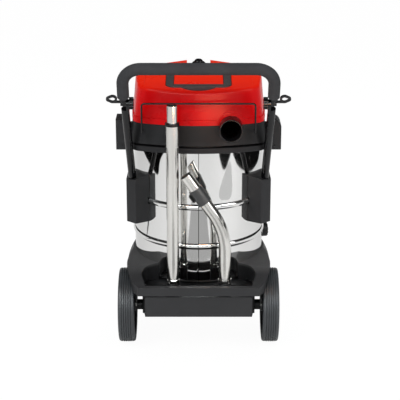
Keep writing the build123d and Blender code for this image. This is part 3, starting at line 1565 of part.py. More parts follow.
with BuildPart() as straight_tube_outer:
    with BuildSketch(Plane.XZ.offset(-stored_tube_y)):
        with BuildLine():
            Polyline(
                (straight_tube_x + tube_radius + 1, stored_tube_z),
                (straight_tube_x + tube_radius + 1, stored_tube_z + 10),
                (straight_tube_x + tube_radius, stored_tube_z + 12),
                (straight_tube_x + tube_radius, socket_z),
                (straight_tube_x + tube_radius + 1.2, socket_z + 3),
                (straight_tube_x + tube_radius + 1.2, lock_z),
                (straight_tube_x + inner_tube_radius + 0.3, lock_z),
                (straight_tube_x + inner_tube_radius + 0.3, lock_z - 40),
                (straight_tube_x + tube_radius - suction_tube_wall, lock_z - 42),
                (straight_tube_x + tube_radius - suction_tube_wall, stored_tube_z),
                close=True,
            )
        make_face()
    revolve(axis=Axis((straight_tube_x, stored_tube_y, 0), (0, 0, 1)))
finish(straight_tube_outer.part, "straight_tube_outer")

with BuildPart() as tube_lock:
    with BuildSketch(Plane.XY.offset(lock_z)):
        with Locations((straight_tube_x, stored_tube_y)):
            Circle(lock_radius)
            Circle(inner_tube_radius + fit_gap, mode=Mode.SUBTRACT)
    extrude(amount=lock_height)
    fillet(tube_lock.edges().group_by(Axis.Z)[-1].sort_by(SortBy.RADIUS)[-1], 2)
finish(tube_lock.part, "tube_lock")

with BuildPart() as straight_tube_inner:
    with BuildSketch(Plane.XY.offset(lock_z - inner_tube_overlap)):
        with Locations((straight_tube_x, stored_tube_y)):
            Circle(inner_tube_radius)
            Circle(inner_tube_radius - suction_tube_wall, mode=Mode.SUBTRACT)
    extrude(amount=inner_tube_top_z - lock_z + inner_tube_overlap)
finish(straight_tube_inner.part, "straight_tube_inner")

# ---------------------------------------------------------------- stored bent wand
bend_start = Vector(wand_x, stored_tube_y, stored_tube_z + wand_vertical)
bend_rad = radians(wand_bend_angle)
slant = Vector(-sin(bend_rad), 0, cos(bend_rad))
bend_end = bend_start + Vector(
    -wand_bend_radius * (1 - cos(bend_rad)), 0, wand_bend_radius * sin(bend_rad)
)
wand_end = bend_end + slant * wand_slant
sleeve_start = 37.0
sleeve_plane = Plane(origin=bend_end + slant * sleeve_start, x_dir=(0, 1, 0), z_dir=slant)
sleeve_radius = wand_sleeve_diameter / 2
slider_length = 24.0
slider_width = 14.0
slider_travel = 10.0

with BuildPart() as bent_wand:
    with BuildLine() as wand_path:
        Line((wand_x, stored_tube_y, stored_tube_z), bend_start)
        TangentArc(bend_start, bend_end, tangent=(0, 0, 1))
        Line(bend_end, wand_end)
    with BuildSketch(Plane.XY.offset(stored_tube_z)):
        with Locations((wand_x, stored_tube_y)):
            Circle(tube_radius)
            Circle(tube_radius - suction_tube_wall, mode=Mode.SUBTRACT)
    sweep()
    with BuildSketch(Plane.XY.offset(stored_tube_z)):
        with Locations((wand_x, stored_tube_y)):
            Circle(tube_radius + 1)
            Circle(tube_radius - 0.5, mode=Mode.SUBTRACT)
    extrude(amount=10)
finish(bent_wand.part, "bent_wand")

with BuildPart(sleeve_plane) as wand_sleeve:
    Cylinder(sleeve_radius, wand_sleeve_length, align=(Align.CENTER, Align.CENTER, Align.MIN))
    fillet(wand_sleeve.edges().filter_by(GeomType.CIRCLE), 1.2)
    Cylinder(tube_radius + run_gap, 3 * wand_sleeve_length, mode=Mode.SUBTRACT)
finish(wand_sleeve.part, "wand_sleeve")

with BuildPart(sleeve_plane) as air_slider:
    with Locations((0, sleeve_radius + fit_gap, wand_sleeve_length / 2 + slider_travel / 2)):
        Box(
            slider_width,
            5,
            slider_length,
            align=(Align.CENTER, Align.MIN, Align.CENTER),
        )
    for ridge in range(5):
        ridge_z = wand_sleeve_length / 2 + slider_travel / 2 + (ridge - 2) * 4.2
        with Locations((0, sleeve_radius + fit_gap + 5, ridge_z)):
            Box(slider_width, 2, 1.8, align=(Align.CENTER, Align.MIN, Align.CENTER))
    Cylinder(sleeve_radius + fit_gap, 4 * wand_sleeve_length, mode=Mode.SUBTRACT)
finish(air_slider.part, "air_slider")

# ---------------------------------------------------------------- cable gland at the front
with BuildPart() as cable_gland:
    with BuildSketch(gland_plane.offset(gland_face_y - 20)):
        Circle(gland_radius)
    extrude(amount=36)
    with BuildSketch(gland_plane.offset(gland_face_y)):
        RegularPolygon(gland_radius + 3, 6)
    extrude(amount=7)
    chamfer(cable_gland.edges().group_by(Axis.Y)[-1], 2)
    with BuildSketch(gland_plane):
        Circle(gland_radius / 2)
    extrude(amount=400, mode=Mode.SUBTRACT)
finish(cable_gland.part, "cable_gland")
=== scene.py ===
# %% [markdown]
# # A shop vacuum, dressed around its CAD frame
# The solids of this machine come from a CAD part: every piece already sits in its place and
# belongs to a body that can turn or slide. Blender only has to give it its looks. So the lesson
# starts by loading that frame, and every later piece takes its place from the frame's own boxes,
# in metres.

# %% Load the frame
import json

import bpy
import numpy as np
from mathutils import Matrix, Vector


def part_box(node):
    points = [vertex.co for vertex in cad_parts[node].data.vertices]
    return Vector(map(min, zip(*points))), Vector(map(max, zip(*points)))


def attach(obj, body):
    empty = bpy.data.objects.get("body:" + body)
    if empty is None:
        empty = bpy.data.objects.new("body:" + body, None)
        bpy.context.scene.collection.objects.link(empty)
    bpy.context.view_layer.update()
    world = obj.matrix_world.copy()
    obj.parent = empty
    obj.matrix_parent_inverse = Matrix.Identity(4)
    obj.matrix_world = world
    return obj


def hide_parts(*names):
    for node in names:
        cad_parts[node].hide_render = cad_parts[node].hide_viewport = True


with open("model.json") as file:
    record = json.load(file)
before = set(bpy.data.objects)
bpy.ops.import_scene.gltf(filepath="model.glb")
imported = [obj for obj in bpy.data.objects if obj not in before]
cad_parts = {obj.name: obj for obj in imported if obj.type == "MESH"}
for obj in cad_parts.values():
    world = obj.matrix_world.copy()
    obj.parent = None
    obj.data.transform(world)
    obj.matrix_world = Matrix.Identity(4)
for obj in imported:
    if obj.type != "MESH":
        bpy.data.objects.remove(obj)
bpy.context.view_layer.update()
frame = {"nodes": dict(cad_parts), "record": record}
node = frame["nodes"]

# %% [markdown]
# ## Camera
# A tall machine looks right from far away through a long lens, so that its upright edges stay
# nearly parallel. A camera close by would need a wide lens, and the wheels would look too small
# under the head. This one stands 3.4 m behind the machine, a little above its handle, and looks
# down by 18.7 degrees. A lens of about 108 mm frames the whole of it.

# %% Camera
camera_aside, camera_distance, camera_height = 0.004, 3.41, 1.525
camera_tilt = 18.7
lens, sensor_width = 108.4, 36.0


def place_object(name, data):
    """An object with that data, put into the scene."""
    made = bpy.data.objects.new(name, data)
    bpy.context.scene.collection.objects.link(made)
    return made


camera_data = bpy.data.cameras.new("camera")
camera_data.lens = lens
camera_data.sensor_width = sensor_width
camera = place_object("camera", camera_data)
camera.location = (camera_aside, -camera_distance, camera_height)
camera.rotation_euler = (np.radians(90 - camera_tilt), 0, 0)
bpy.context.scene.camera = camera
bpy.context.scene.view_settings.view_transform = "Standard"
print("camera tilt:", camera_tilt, "degrees, lens:", lens, "mm")

# %% [markdown]
# ## Node trees
# Every material, and the world too, is a tree of nodes joined by links. Each tree could be
# clicked together by hand, but a few helpers make it short to write: one that starts a material,
# one that adds a node with its values, one that maps a span of values to another, and one that
# sends the result out.

# %% Start a material and add nodes
def new_material(name):
    """An empty principled material; returns the material, its tree and its shader."""
    material = bpy.data.materials.new(name)
    material.use_nodes = True
    shader = material.node_tree.nodes["Principled BSDF"]
    return material, material.node_tree, shader


def add_node(tree, kind, **settings):
    """A node of that kind, with its named properties and its input sockets set."""
    made = tree.nodes.new(kind)
    for key, value in settings.items():
        if key in made.inputs:
            made.inputs[key].default_value = value
        else:
            setattr(made, key, value)
    return made


print("tree helpers:", new_material.__name__, add_node.__name__)

# %% Map and combine values
def ramp(tree, source, span, result=(0.0, 1.0), smooth=False):
    """A value's span mapped to the result's span, straight or with soft ends."""
    made = add_node(tree, "ShaderNodeMapRange")
    made.interpolation_type = "SMOOTHSTEP" if smooth else "LINEAR"
    made.inputs["From Min"].default_value, made.inputs["From Max"].default_value = span
    made.inputs["To Min"].default_value, made.inputs["To Max"].default_value = result
    tree.links.new(source, made.inputs["Value"])
    return made.outputs["Result"]


def combine(tree, operation, first, second, clamp=False):
    """Two values joined by that operation. The second may be a plain number."""
    made = add_node(tree, "ShaderNodeMath", operation=operation, use_clamp=clamp)
    tree.links.new(first, made.inputs[0])
    if isinstance(second, float):
        made.inputs[1].default_value = second
    else:
        tree.links.new(second, made.inputs[1])
    return made.outputs[0]


print("value helpers:", ramp.__name__, combine.__name__)

# %% Send out and blend shaders
def show(tree, surface):
    """Sends a shader to the material's output."""
    tree.links.new(surface, tree.nodes["Material Output"].inputs["Surface"])


def blend_shaders(tree, share, first, second):
    """A mix of two shaders: the share says how much of the second shows."""
    made = add_node(tree, "ShaderNodeMixShader")
    tree.links.new(share, made.inputs["Fac"])
    tree.links.new(first, made.inputs[1])
    tree.links.new(second, made.inputs[2])
    return made.outputs["Shader"]


print("shader helpers:", show.__name__, blend_shaders.__name__)

# %% [markdown]
# ## Stage
# Polished steel has hardly any colour of its own: it shows the room. A bright, plain room with a
# pale floor gives the drum its white bands, and the dark parts of the machine draw their own
# reflections in it. The room could be built with walls, but a world does the same. It is white to
# the camera and in mirrors, and lights the machine with half of that, so that nothing burns out.

# %% World
world_light = 0.5


def studio_world(strength):
    """A plain room: white where the camera and mirrors see it, and that strength as light."""
    world = bpy.data.worlds.new("studio")
    bpy.context.scene.world = world
    world.use_nodes = True
    tree = world.node_tree
    background = tree.nodes["Background"]
    background.inputs["Color"].default_value = (1, 1, 1, 1)
    path = add_node(tree, "ShaderNodeLightPath").outputs
    seen = combine(tree, "ADD", path["Is Camera Ray"], path["Is Glossy Ray"])
    seen = combine(tree, "ADD", seen, path["Is Transmission Ray"], clamp=True)
    level = ramp(tree, seen, (0.0, 1.0), (strength, 1.0))
    tree.links.new(level, background.inputs["Strength"])


studio_world(world_light)
print("world light:", world_light)

# %% [markdown]
# ## Floor
# The machine stands on a floor that has to look as white as the room, and still has to keep the
# soft shadow under the wheels. A floor that only glows would lose the shadow, and one that is
# only lit would look grey. So to the camera it is mostly glow with a little lit white, and to
# every other ray it is a plain pale floor with a faint roughness.

# %% Floor
floor_half_size = 12.0
floor_glow = 1.03
floor_glow_share = 0.93


def pale_floor(half_size):
    """A white floor that keeps the machine's shadow and is plain white to the camera elsewhere."""
    mesh = bpy.data.meshes.new("floor")
    s = half_size
    mesh.from_pydata([(-s, -s, 0), (s, -s, 0), (s, s, 0), (-s, s, 0)], [], [(0, 1, 2, 3)])
    made = place_object("floor", mesh)
    material, tree, shader = new_material("floor_white")
    shader.inputs["Base Color"].default_value = (0.9, 0.9, 0.9, 1)
    shader.inputs["Roughness"].default_value = 0.6
    speckle = add_node(tree, "ShaderNodeTexNoise", Scale=40.0, Detail=3.0)
    place = add_node(tree, "ShaderNodeTexCoord")
    tree.links.new(place.outputs["Object"], speckle.inputs["Vector"])
    bump = add_node(tree, "ShaderNodeBump", Strength=0.02)
    tree.links.new(speckle.outputs["Fac"], bump.inputs["Height"])
    tree.links.new(bump.outputs["Normal"], shader.inputs["Normal"])
    glow = add_node(tree, "ShaderNodeEmission", Strength=floor_glow)
    path = add_node(tree, "ShaderNodeLightPath")
    share = combine(tree, "MULTIPLY", path.outputs["Is Camera Ray"], floor_glow_share)
    show(tree, blend_shaders(tree, share, shader.outputs["BSDF"], glow.outputs["Emission"]))
    mesh.materials.append(material)


pale_floor(floor_half_size)
print("floor:", 2 * floor_half_size, "m wide")

# %% [markdown]
# ## Lamps
# Three soft lamps shape the machine: a key from the upper left, a weaker fill from the right, and
# a rim lamp from the front that draws a bright edge along the top. Small lamps would give hard
# shadows and hot spots, so each one is more than a metre wide. The rim lamp is hidden from
# mirrors, where it would show as a square.

# %% Lamps
lamps = {
    # name: (place, target, (width, height), watts)
    "key": ((-1.8, -2.2, 2.6), (0, 0, 0.45), (1.4, 1.4), 46),
    "fill": ((2.2, -1.6, 1.8), (0, 0, 0.4), (1.2, 1.8), 26),
    "rim": ((0.4, 1.9, 2.6), (0, 0, 0.6), (1.6, 1.0), 24),
}


def lamp(name, place, target, size, power):
    """A soft square lamp at a place, turned towards a target."""
    data = bpy.data.lights.new(name, "AREA")
    data.shape = "RECTANGLE"
    data.size, data.size_y = size
    data.energy = power
    made = place_object(name, data)
    made.location = place
    direction = Vector(target) - Vector(place)
    made.rotation_euler = direction.to_track_quat("-Z", "Y").to_euler()
    made.visible_glossy = name != "rim"


for name, values in lamps.items():
    lamp(name, *values)
print("lamps:", ", ".join(lamps))

# %% [markdown]
# ## Cards for the steel
# Studios put dark cards, called flags, around polished things, because metal that reflects only
# white looks like grey paper. Real cards would also shade the machine. These are seen by mirror
# rays alone: they draw bands into the steel and take no light away. One of them is a whole dark
# room whose walls start above the floor, and a grey one lies on the floor and draws the stripe
# down the middle of the drum. Two bright cards give the red cover its warm patch and the tyres
# their sheen.

# %% Cards that only mirrors see
def mirror_card(name, corners, faces, level, tint=(1, 1, 1)):
    """A glowing mesh of that level and tint that only mirror rays see."""
    mesh = bpy.data.meshes.new(name)
    mesh.from_pydata(corners, [], faces)
    made = place_object(name, mesh)
    material, tree, shader = new_material(name + "_card")
    glow = add_node(tree, "ShaderNodeEmission", Strength=level)
    glow.inputs["Color"].default_value = tuple(tint) + (1,)
    show(tree, glow.outputs["Emission"])
    mesh.materials.append(material)
    made.visible_camera = False
    made.visible_diffuse = False
    made.visible_transmission = False
    made.visible_shadow = False
    return made


def flag(name, place, target, size, level, tint=(1, 1, 1)):
    """A flat card of that size, turned towards a target."""
    x, y = size[0] / 2, size[1] / 2
    aim = (Vector(target) - Vector(place)).to_track_quat("-Z", "Y")
    corners = [(-x, -y), (x, -y), (x, y), (-x, y)]
    corners = [tuple(aim @ Vector((a, b, 0)) + Vector(place)) for a, b in corners]
    mirror_card(name, corners, [(0, 1, 2, 3)], level, tint)


print("card helpers:", mirror_card.__name__, flag.__name__)

# %% Dark room and flags
def dark_room(half_size, low, high, level):
    """Walls and ceiling of a dark studio that start above the floor, seen by mirror rays alone."""
    h = half_size
    ring = [(-h, -h), (h, -h), (h, h), (-h, h)]
    corners = [(x, y, z) for z in (low, high) for x, y in ring]
    faces = [(a, (a + 1) % 4, (a + 1) % 4 + 4, a + 4) for a in range(4)] + [(4, 5, 6, 7)]
    mirror_card("dark_room", corners, faces, level)


flags = {
    # name: (place, target, (width, height), level, tint)
    "card_behind": ((0.0, -1.10, 0.003), (0.0, -1.10, 1.0), (0.60, 0.62), 0.45, (1, 1, 1)),
    "glow_on_cover": (
        (0.115, -0.55, 0.668), (0.045, -0.196, 0.70), (0.22, 0.05), 26.0, (1.0, 0.52, 0.30),
    ),
    "strip_for_tyres": (
        (0.0, -1.5, 1.03), (0.0, -0.27, 0.16), (2.2, 0.22), 13.0, (0.92, 0.98, 1.0),
    ),
}
dark_room(half_size=4.0, low=0.95, high=3.6, level=0.035)
for name, values in flags.items():
    flag(name, *values)
print("cards:", ", ".join(flags))

# %% [markdown]
# ## Leaf shapes in the drum
# Under the collar the drum mirrors dark, pointed shapes, and on its flanks a thin line and a soft
# haze. Their outlines are easiest to say on the drum's own wall, as an angle from the rear and a
# height. A picture on the wall would move with the drum, so the shapes are real cards in the
# room. Each is found by turning the camera's ray back at the wall, as a mirror does, and placing
# the card on that ray.

# %% Cards that the drum mirrors
drum_bead_proud = 0.005  # the beads stand this far out of the wall
points_an_edge = 12
mean_reach = 4  # neighbours on each side in the running mean
ring_shares = (1.0, 0.75, 0.5, 0.25, 0.02)  # sizes of the rings, from the outline inwards
square_limit = 0.22  # 0 is square to the ray, 1 is edge on


def card_in_drum(name, outline, level, reach=0.5):
    """A curved card that the drum mirrors at an outline on its wall, given as (degrees from the
    rear, height). The outline is filled up to 12 points an edge and rounded by a running mean, and
    rings shrink from it to its middle. At each point the ray from the camera is turned back by the
    wall, r = d - 2 (d . n) n, and the card's point lies on it, reach metres away. So the card
    stands square to these rays, and it shows only to rays that meet it nearly square."""
    corners = np.array(outline)
    edge = np.arange(len(corners) * points_an_edge) / points_an_edge
    first = edge.astype(int)
    share = (edge - first)[:, None]
    rim = corners[first] * (1 - share) + corners[(first + 1) % len(corners)] * share
    shifts = range(-mean_reach, mean_reach + 1)
    rim = sum(np.roll(rim, shift, axis=0) for shift in shifts) / len(shifts)
    ring = np.array(ring_shares)[:, None, None]
    spread = rim.mean(axis=0) + ring * (rim - rim.mean(axis=0))
    angle, height = np.radians(spread[..., 0]), spread[..., 1]
    low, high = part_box("tank")
    radius = (high.x - low.x) / 2 - drum_bead_proud
    normal = np.stack([np.sin(angle), -np.cos(angle), np.zeros_like(angle)], axis=-1)
    wall = normal * radius + np.stack([angle * 0, angle * 0, height], axis=-1)
    ray = wall - np.array(camera.location)
    ray /= np.linalg.norm(ray, axis=-1, keepdims=True)
    ray -= 2 * (ray * normal).sum(axis=-1, keepdims=True) * normal
    points = wall + reach * ray
    index = np.arange(points.shape[0] * points.shape[1]).reshape(points.shape[:2])
    turn = np.roll(index, -1, axis=1)
    quads = np.stack([index[:-1], turn[:-1], turn[1:], index[1:]], axis=-1).reshape(-1, 4)
    card = mirror_card(name, points.reshape(-1, 3).tolist(), quads.tolist(), level)
    tree = card.data.materials[0].node_tree
    facing = add_node(tree, "ShaderNodeLayerWeight").outputs["Facing"]
    square = combine(tree, "LESS_THAN", facing, square_limit)
    clear = add_node(tree, "ShaderNodeBsdfTransparent").outputs["BSDF"]
    show(tree, blend_shaders(tree, square, clear, tree.nodes["Emission"].outputs["Emission"]))


drum_cards = {
    # name: (outline, level, reach)
    "leaf_right": (
        [(28.0, 0.580), (70.0, 0.580), (66.0, 0.518), (50.0, 0.492), (36.0, 0.520)],
        0.004, 0.5,
    ),
    "leaf_middle": ([(16.0, 0.582), (30.5, 0.582), (22.0, 0.506)], 0.004, 0.5),
    "leaf_left": (
        [(-62.0, 0.575), (-28.0, 0.580), (-35.0, 0.545), (-37.0, 0.490), (-46.0, 0.520)],
        0.002, 0.5,
    ),
    "line_left": (
        [
            (-44.2, 0.527), (-45.4, 0.527), (-45.6, 0.422),
            (-53.4, 0.299), (-52.0, 0.299), (-44.2, 0.422),
        ],
        0.08, 0.5,
    ),
    "haze_right": ([(28.5, 0.5665), (14.9, 0.433), (30.9, 0.426)], 0.66, 0.55),
}
for name, values in drum_cards.items():
    card_in_drum(name, *values)
print("shapes in the drum:", ", ".join(drum_cards))

# %% [markdown]
# ## One recipe for the finishes
# Real surfaces are never even: moulded plastic clouds a little, its gloss drifts, and a fine
# grain bends the light. Each finish could be a tree of its own, but they all need the same few
# steps, so one recipe with numbers is enough. All of it reads Object coordinates, so a pattern
# stays on its piece when a joint moves it. Some finishes add lighter edges, a weld seam, or a
# second colour above a height that paints in the light falling on upper faces.

# %% Steps of the recipe
def colour_over(tree, below, colour, share):
    """A colour laid over what is below it, by a share from 0 to 1."""
    made = add_node(tree, "ShaderNodeMix", data_type="RGBA")
    made.inputs["B"].default_value = tuple(colour) + (1,)
    tree.links.new(share, made.inputs["Factor"])
    tree.links.new(below, made.inputs["A"])
    return made.outputs["Result"]


def seam_share(tree, place, half_width):
    """1 on a thin upright line at x = 0 on the rear side, where y is below 0, and 0 elsewhere."""
    apart = add_node(tree, "ShaderNodeSeparateXYZ")
    tree.links.new(place, apart.inputs["Vector"])
    aside = add_node(tree, "ShaderNodeMath", operation="ABSOLUTE")
    tree.links.new(apart.outputs["X"], aside.inputs[0])
    line = ramp(tree, aside.outputs[0], (half_width * 0.4, half_width), (1.0, 0.0), smooth=True)
    rear = combine(tree, "LESS_THAN", apart.outputs["Y"], 0.0)
    return combine(tree, "MULTIPLY", line, rear)


# The share of the painted top light: painted light on the upper faces, 0 below and 1 above.
def painted_top_share(tree, place, span):
    """0 below a span of heights, 1 above it, and a soft step between."""
    split = add_node(tree, "ShaderNodeSeparateXYZ")
    tree.links.new(place, split.inputs["Vector"])
    return ramp(tree, split.outputs["Z"], span, smooth=True)


def grain_bump(tree, place, scale, stretch, height, depth):
    """The normal of a fine noise that may be stretched along an axis."""
    mapping = add_node(tree, "ShaderNodeMapping", Scale=stretch)
    tree.links.new(place, mapping.inputs["Vector"])
    fine = add_node(tree, "ShaderNodeTexNoise", Scale=scale, Detail=3.0, Roughness=0.55)
    tree.links.new(mapping.outputs["Vector"], fine.inputs["Vector"])
    bump = add_node(tree, "ShaderNodeBump", Strength=height, Distance=depth)
    tree.links.new(fine.outputs["Fac"], bump.inputs["Height"])
    return bump.outputs["Normal"]


# The upper colour is painted light, standing in for light falling on upper faces.
print("recipe steps: cloud, upper colour, seam, grain, gloss, wear")

# %% The recipe
cloud_span = (0.35, 0.65)  # noise values between the two colours
gloss_span = (0.3, 0.7)  # noise values between the two roughnesses
edge_span = (0.52, 0.62)  # pointiness between a flat face and a worn edge
seam_colour = (0.10, 0.095, 0.09)


def finish_material(
    name,
    colour,
    shade=0.85,
    roughness=(0.4, 0.5),
    metal=0.0,
    cloud=12.0,
    grain=900.0,
    grain_height=0.1,
    grain_stretch=(1, 1, 1),
    depth=0.0004,
    specular=0.5,
    coat=0.0,
    coat_roughness=0.05,
    wear=0.0,
    wear_colour=(0.5, 0.5, 0.5),
    painted_top_light=None,
    painted_top_span=(0.0, 1.0),
    seam=0.0,
):
    """A procedural finish: the colour drifts between full and shaded over clouds, the roughness
    between its two ends, and a stretched grain makes the bump. Wear lightens the raised edges, and
    a painted top light, a second colour for the light falling on upper faces, takes over between
    two heights. A seam is a dark line of that half width down the rear, where x is 0."""
    material, tree, shader = new_material(name)
    place = add_node(tree, "ShaderNodeTexCoord").outputs["Object"]
    clouds = add_node(tree, "ShaderNodeTexNoise", Scale=cloud, Detail=4.0, Roughness=0.6)
    tree.links.new(place, clouds.inputs["Vector"])
    tint = add_node(tree, "ShaderNodeMix", data_type="RGBA")
    tint.inputs["A"].default_value = tuple(c * shade for c in colour) + (1,)
    tint.inputs["B"].default_value = tuple(colour) + (1,)
    tree.links.new(ramp(tree, clouds.outputs["Fac"], cloud_span), tint.inputs["Factor"])
    shown = tint.outputs["Result"]
    # Painted light: above these heights a second colour paints the light falling on upper faces.
    if painted_top_light:
        shown = colour_over(tree, shown, painted_top_light, painted_top_share(tree, place, painted_top_span))
    if seam:
        shown = colour_over(tree, shown, seam_colour, seam_share(tree, place, seam))
    if wear:
        edge = add_node(tree, "ShaderNodeNewGeometry").outputs["Pointiness"]
        shown = colour_over(tree, shown, wear_colour, ramp(tree, edge, edge_span, (0.0, wear)))
    tree.links.new(shown, shader.inputs["Base Color"])

    gloss = ramp(tree, clouds.outputs["Fac"], gloss_span, roughness)
    tree.links.new(gloss, shader.inputs["Roughness"])
    bump = grain_bump(tree, place, grain, grain_stretch, grain_height, depth)
    tree.links.new(bump, shader.inputs["Normal"])
    shader.inputs["Metallic"].default_value = metal
    shader.inputs["Specular IOR Level"].default_value = specular
    if coat:
        shader.inputs["Coat Weight"].default_value = coat
        shader.inputs["Coat Roughness"].default_value = coat_roughness
    return material


finishes = {}
print("recipe ready")

# %% [markdown]
# ## Steel
# The drum is rolled from polished sheet and welded down its rear, so it mirrors almost sharply,
# with a faint drawn grain and one dark seam. The suction tubes are ground along their length,
# which blurs what they mirror. Small fittings are zinc plated, with a spangle that varies their
# gloss. An anisotropic shader could draw the grain as well, but a noise stretched along the
# height does it more cheaply.

# %% Metals
finishes["stainless"] = finish_material(
    "polished_steel", (0.80, 0.80, 0.79), 0.97, (0.03, 0.07), metal=1.0, cloud=6.0,
    grain=260.0, grain_height=0.02, grain_stretch=(1, 1, 0.04), depth=0.0002, seam=0.0013,
)
finishes["tube_steel"] = finish_material(
    "satin_tube_steel", (0.74, 0.73, 0.70), 0.93, (0.14, 0.22), metal=1.0, cloud=9.0,
    grain=700.0, grain_height=0.2, grain_stretch=(1, 1, 0.05), depth=0.0002,
)
finishes["zinc"] = finish_material(
    "zinc_plate", (0.62, 0.62, 0.60), 0.85, (0.24, 0.38), metal=1.0, cloud=60.0,
    grain=1200.0, grain_height=0.15, depth=0.0002,
)
finishes["copper_iron"] = finish_material(
    "motor_winding", (0.45, 0.20, 0.10), 0.6, (0.3, 0.45), metal=1.0, cloud=80.0,
    grain=500.0, grain_height=0.5, grain_stretch=(1, 1, 6), depth=0.0005,
)
print("metals:", ", ".join(finishes))

# %% [markdown]
# ## Red shell
# The cover is a glossy red moulding whose top turns towards orange where light falls along it.
# The lamps could do that alone, but then the sides would wash out. So that light is painted: a
# second, orange colour takes over near the top, and the shine is kept low.

# %% Red plastic
# Painted light: the orange above 0.735 to 0.775 m paints the light falling along the cover's top.
finishes["red_plastic"] = finish_material(
    "red_shell_plastic", (0.70, 0.001, 0.003), 0.93, (0.24, 0.32), cloud=7.0,
    grain=1500.0, grain_height=0.06, depth=0.0003, specular=0.11,
    painted_top_light=(0.86, 0.024, 0.001), painted_top_span=(0.735, 0.775),
)
print("red shell made")

# %% [markdown]
# ## Black plastics and paint
# Black parts tell their material by their shine alone. Brackets and fittings are grained and rub
# light at their edges, small mouldings are smooth, and the handle tubes are enamelled under a
# thin coat. The head base and the collar are duller than the rest. The trolley base is painted
# grey on its flat upper faces: a painted sheen of the light falling along them.

# %% Black finishes
finishes["black_plastic"] = finish_material(
    "grained_black_plastic", (0.014, 0.0145, 0.016), 0.8, (0.38, 0.52), cloud=14.0,
    grain=1300.0, grain_height=0.35, depth=0.0004, specular=0.24,
    wear=0.25, wear_colour=(0.06, 0.06, 0.063),
)
finishes["gloss_black"] = finish_material(
    "smooth_black_plastic", (0.007, 0.007, 0.008), 0.85, (0.22, 0.32), cloud=10.0,
    grain=900.0, grain_height=0.05, depth=0.0003, specular=0.3,
)
finishes["black_paint"] = finish_material(
    "black_enamel", (0.004, 0.004, 0.005), 0.85, (0.12, 0.18), cloud=10.0,
    grain=420.0, grain_height=0.08, depth=0.0003, specular=0.3, coat=0.12, coat_roughness=0.06,
)
dull_black = finish_material(
    "dull_black_plastic", (0.013, 0.0135, 0.0145), 0.8, (0.42, 0.55), cloud=14.0,
    grain=1300.0, grain_height=0.35, depth=0.0004, specular=0.12,
    wear=0.25, wear_colour=(0.05, 0.05, 0.053),
)
own_finishes = {
    "latch_pins": finishes["gloss_black"],
    "head_base": dull_black,
    "tank_collar": dull_black,
    "carry_handle": finish_material(
        "worn_handle_plastic", (0.045, 0.043, 0.043), 0.6, (0.42, 0.6), cloud=110.0,
        grain=1300.0, grain_height=0.5, depth=0.0005, specular=0.4,
        wear=0.3, wear_colour=(0.11, 0.11, 0.11),
    ),
    "wand_sleeve": finish_material(
        "sleeve_plastic", (0.035, 0.037, 0.038), 0.8, (0.3, 0.42), cloud=20.0,
        grain=1100.0, grain_height=0.3, depth=0.0004, specular=0.6,
        wear=0.3, wear_colour=(0.12, 0.12, 0.12),
    ),
    "chassis": finish_material(
        "base_plastic", (0.014, 0.0145, 0.016), 0.8, (0.36, 0.5), cloud=14.0,
        grain=1300.0, grain_height=0.35, depth=0.0004, specular=0.25,
        wear=0.35, wear_colour=(0.07, 0.07, 0.073),
        # Painted sheen: the grey above these heights paints the light falling on the base's upper
        # faces.
        painted_top_light=(0.062, 0.062, 0.063), painted_top_span=(0.219, 0.228),
    ),
}
print("pieces with a finish of their own:", ", ".join(own_finishes))

# %% [markdown]
# ## Soft materials
# Foam is nearly without shine and has an open, rough skin. Tyre rubber is greyer and catches a
# broad sheen on its worn tread. Seals are matt, and the filter is creased paper.

# %% Foam, rubber and paper
finishes["foam"] = finish_material(
    "grip_foam", (0.046, 0.0475, 0.0515), 0.75, (0.85, 0.95), cloud=18.0,
    grain=1100.0, grain_height=0.9, depth=0.0006, specular=0.2,
)
finishes["tyre"] = finish_material(
    "tyre_rubber", (0.040, 0.045, 0.050), 0.78, (0.36, 0.50), cloud=16.0,
    grain=900.0, grain_height=0.4, depth=0.0004, specular=0.6,
    wear=0.35, wear_colour=(0.16, 0.17, 0.18),
)
finishes["rubber"] = finish_material(
    "seal_rubber", (0.018, 0.018, 0.019), 0.8, (0.6, 0.75), cloud=20.0,
    grain=900.0, grain_height=0.3, depth=0.0003, specular=0.3,
)
finishes["paper"] = finish_material(
    "filter_paper", (0.72, 0.68, 0.58), 0.88, (0.85, 0.95), cloud=30.0,
    grain=700.0, grain_height=0.6, depth=0.0004, specular=0.1,
)
print("finishes:", ", ".join(finishes))

# %% [markdown]
# ## Dressing the CAD pieces
# The frame's record says which material each piece is made of. Giving out the finishes by that
# word, rather than piece by piece, leaves nothing bare and keeps like parts alike. A piece with a
# finish of its own takes that one instead.

# %% Give every CAD node its finish
slot_of = {part["node"]: part["material_slot"] for part in frame["record"]["subparts"]}
for name, piece in node.items():
    piece.data.materials.clear()
    piece.data.materials.append(own_finishes.get(name, finishes[slot_of[name]]))
print("dressed nodes:", len(slot_of))

# %% [markdown]
# ## Surfaces from a grid of points
# The grip and the tyres are both surfaces with two directions: one along or across the piece, one
# round it. If their points lie in a grid, every quad joins a point to the next in its row and
# column. Arrays write all the quads at once, which is far quicker than adding faces one by one.

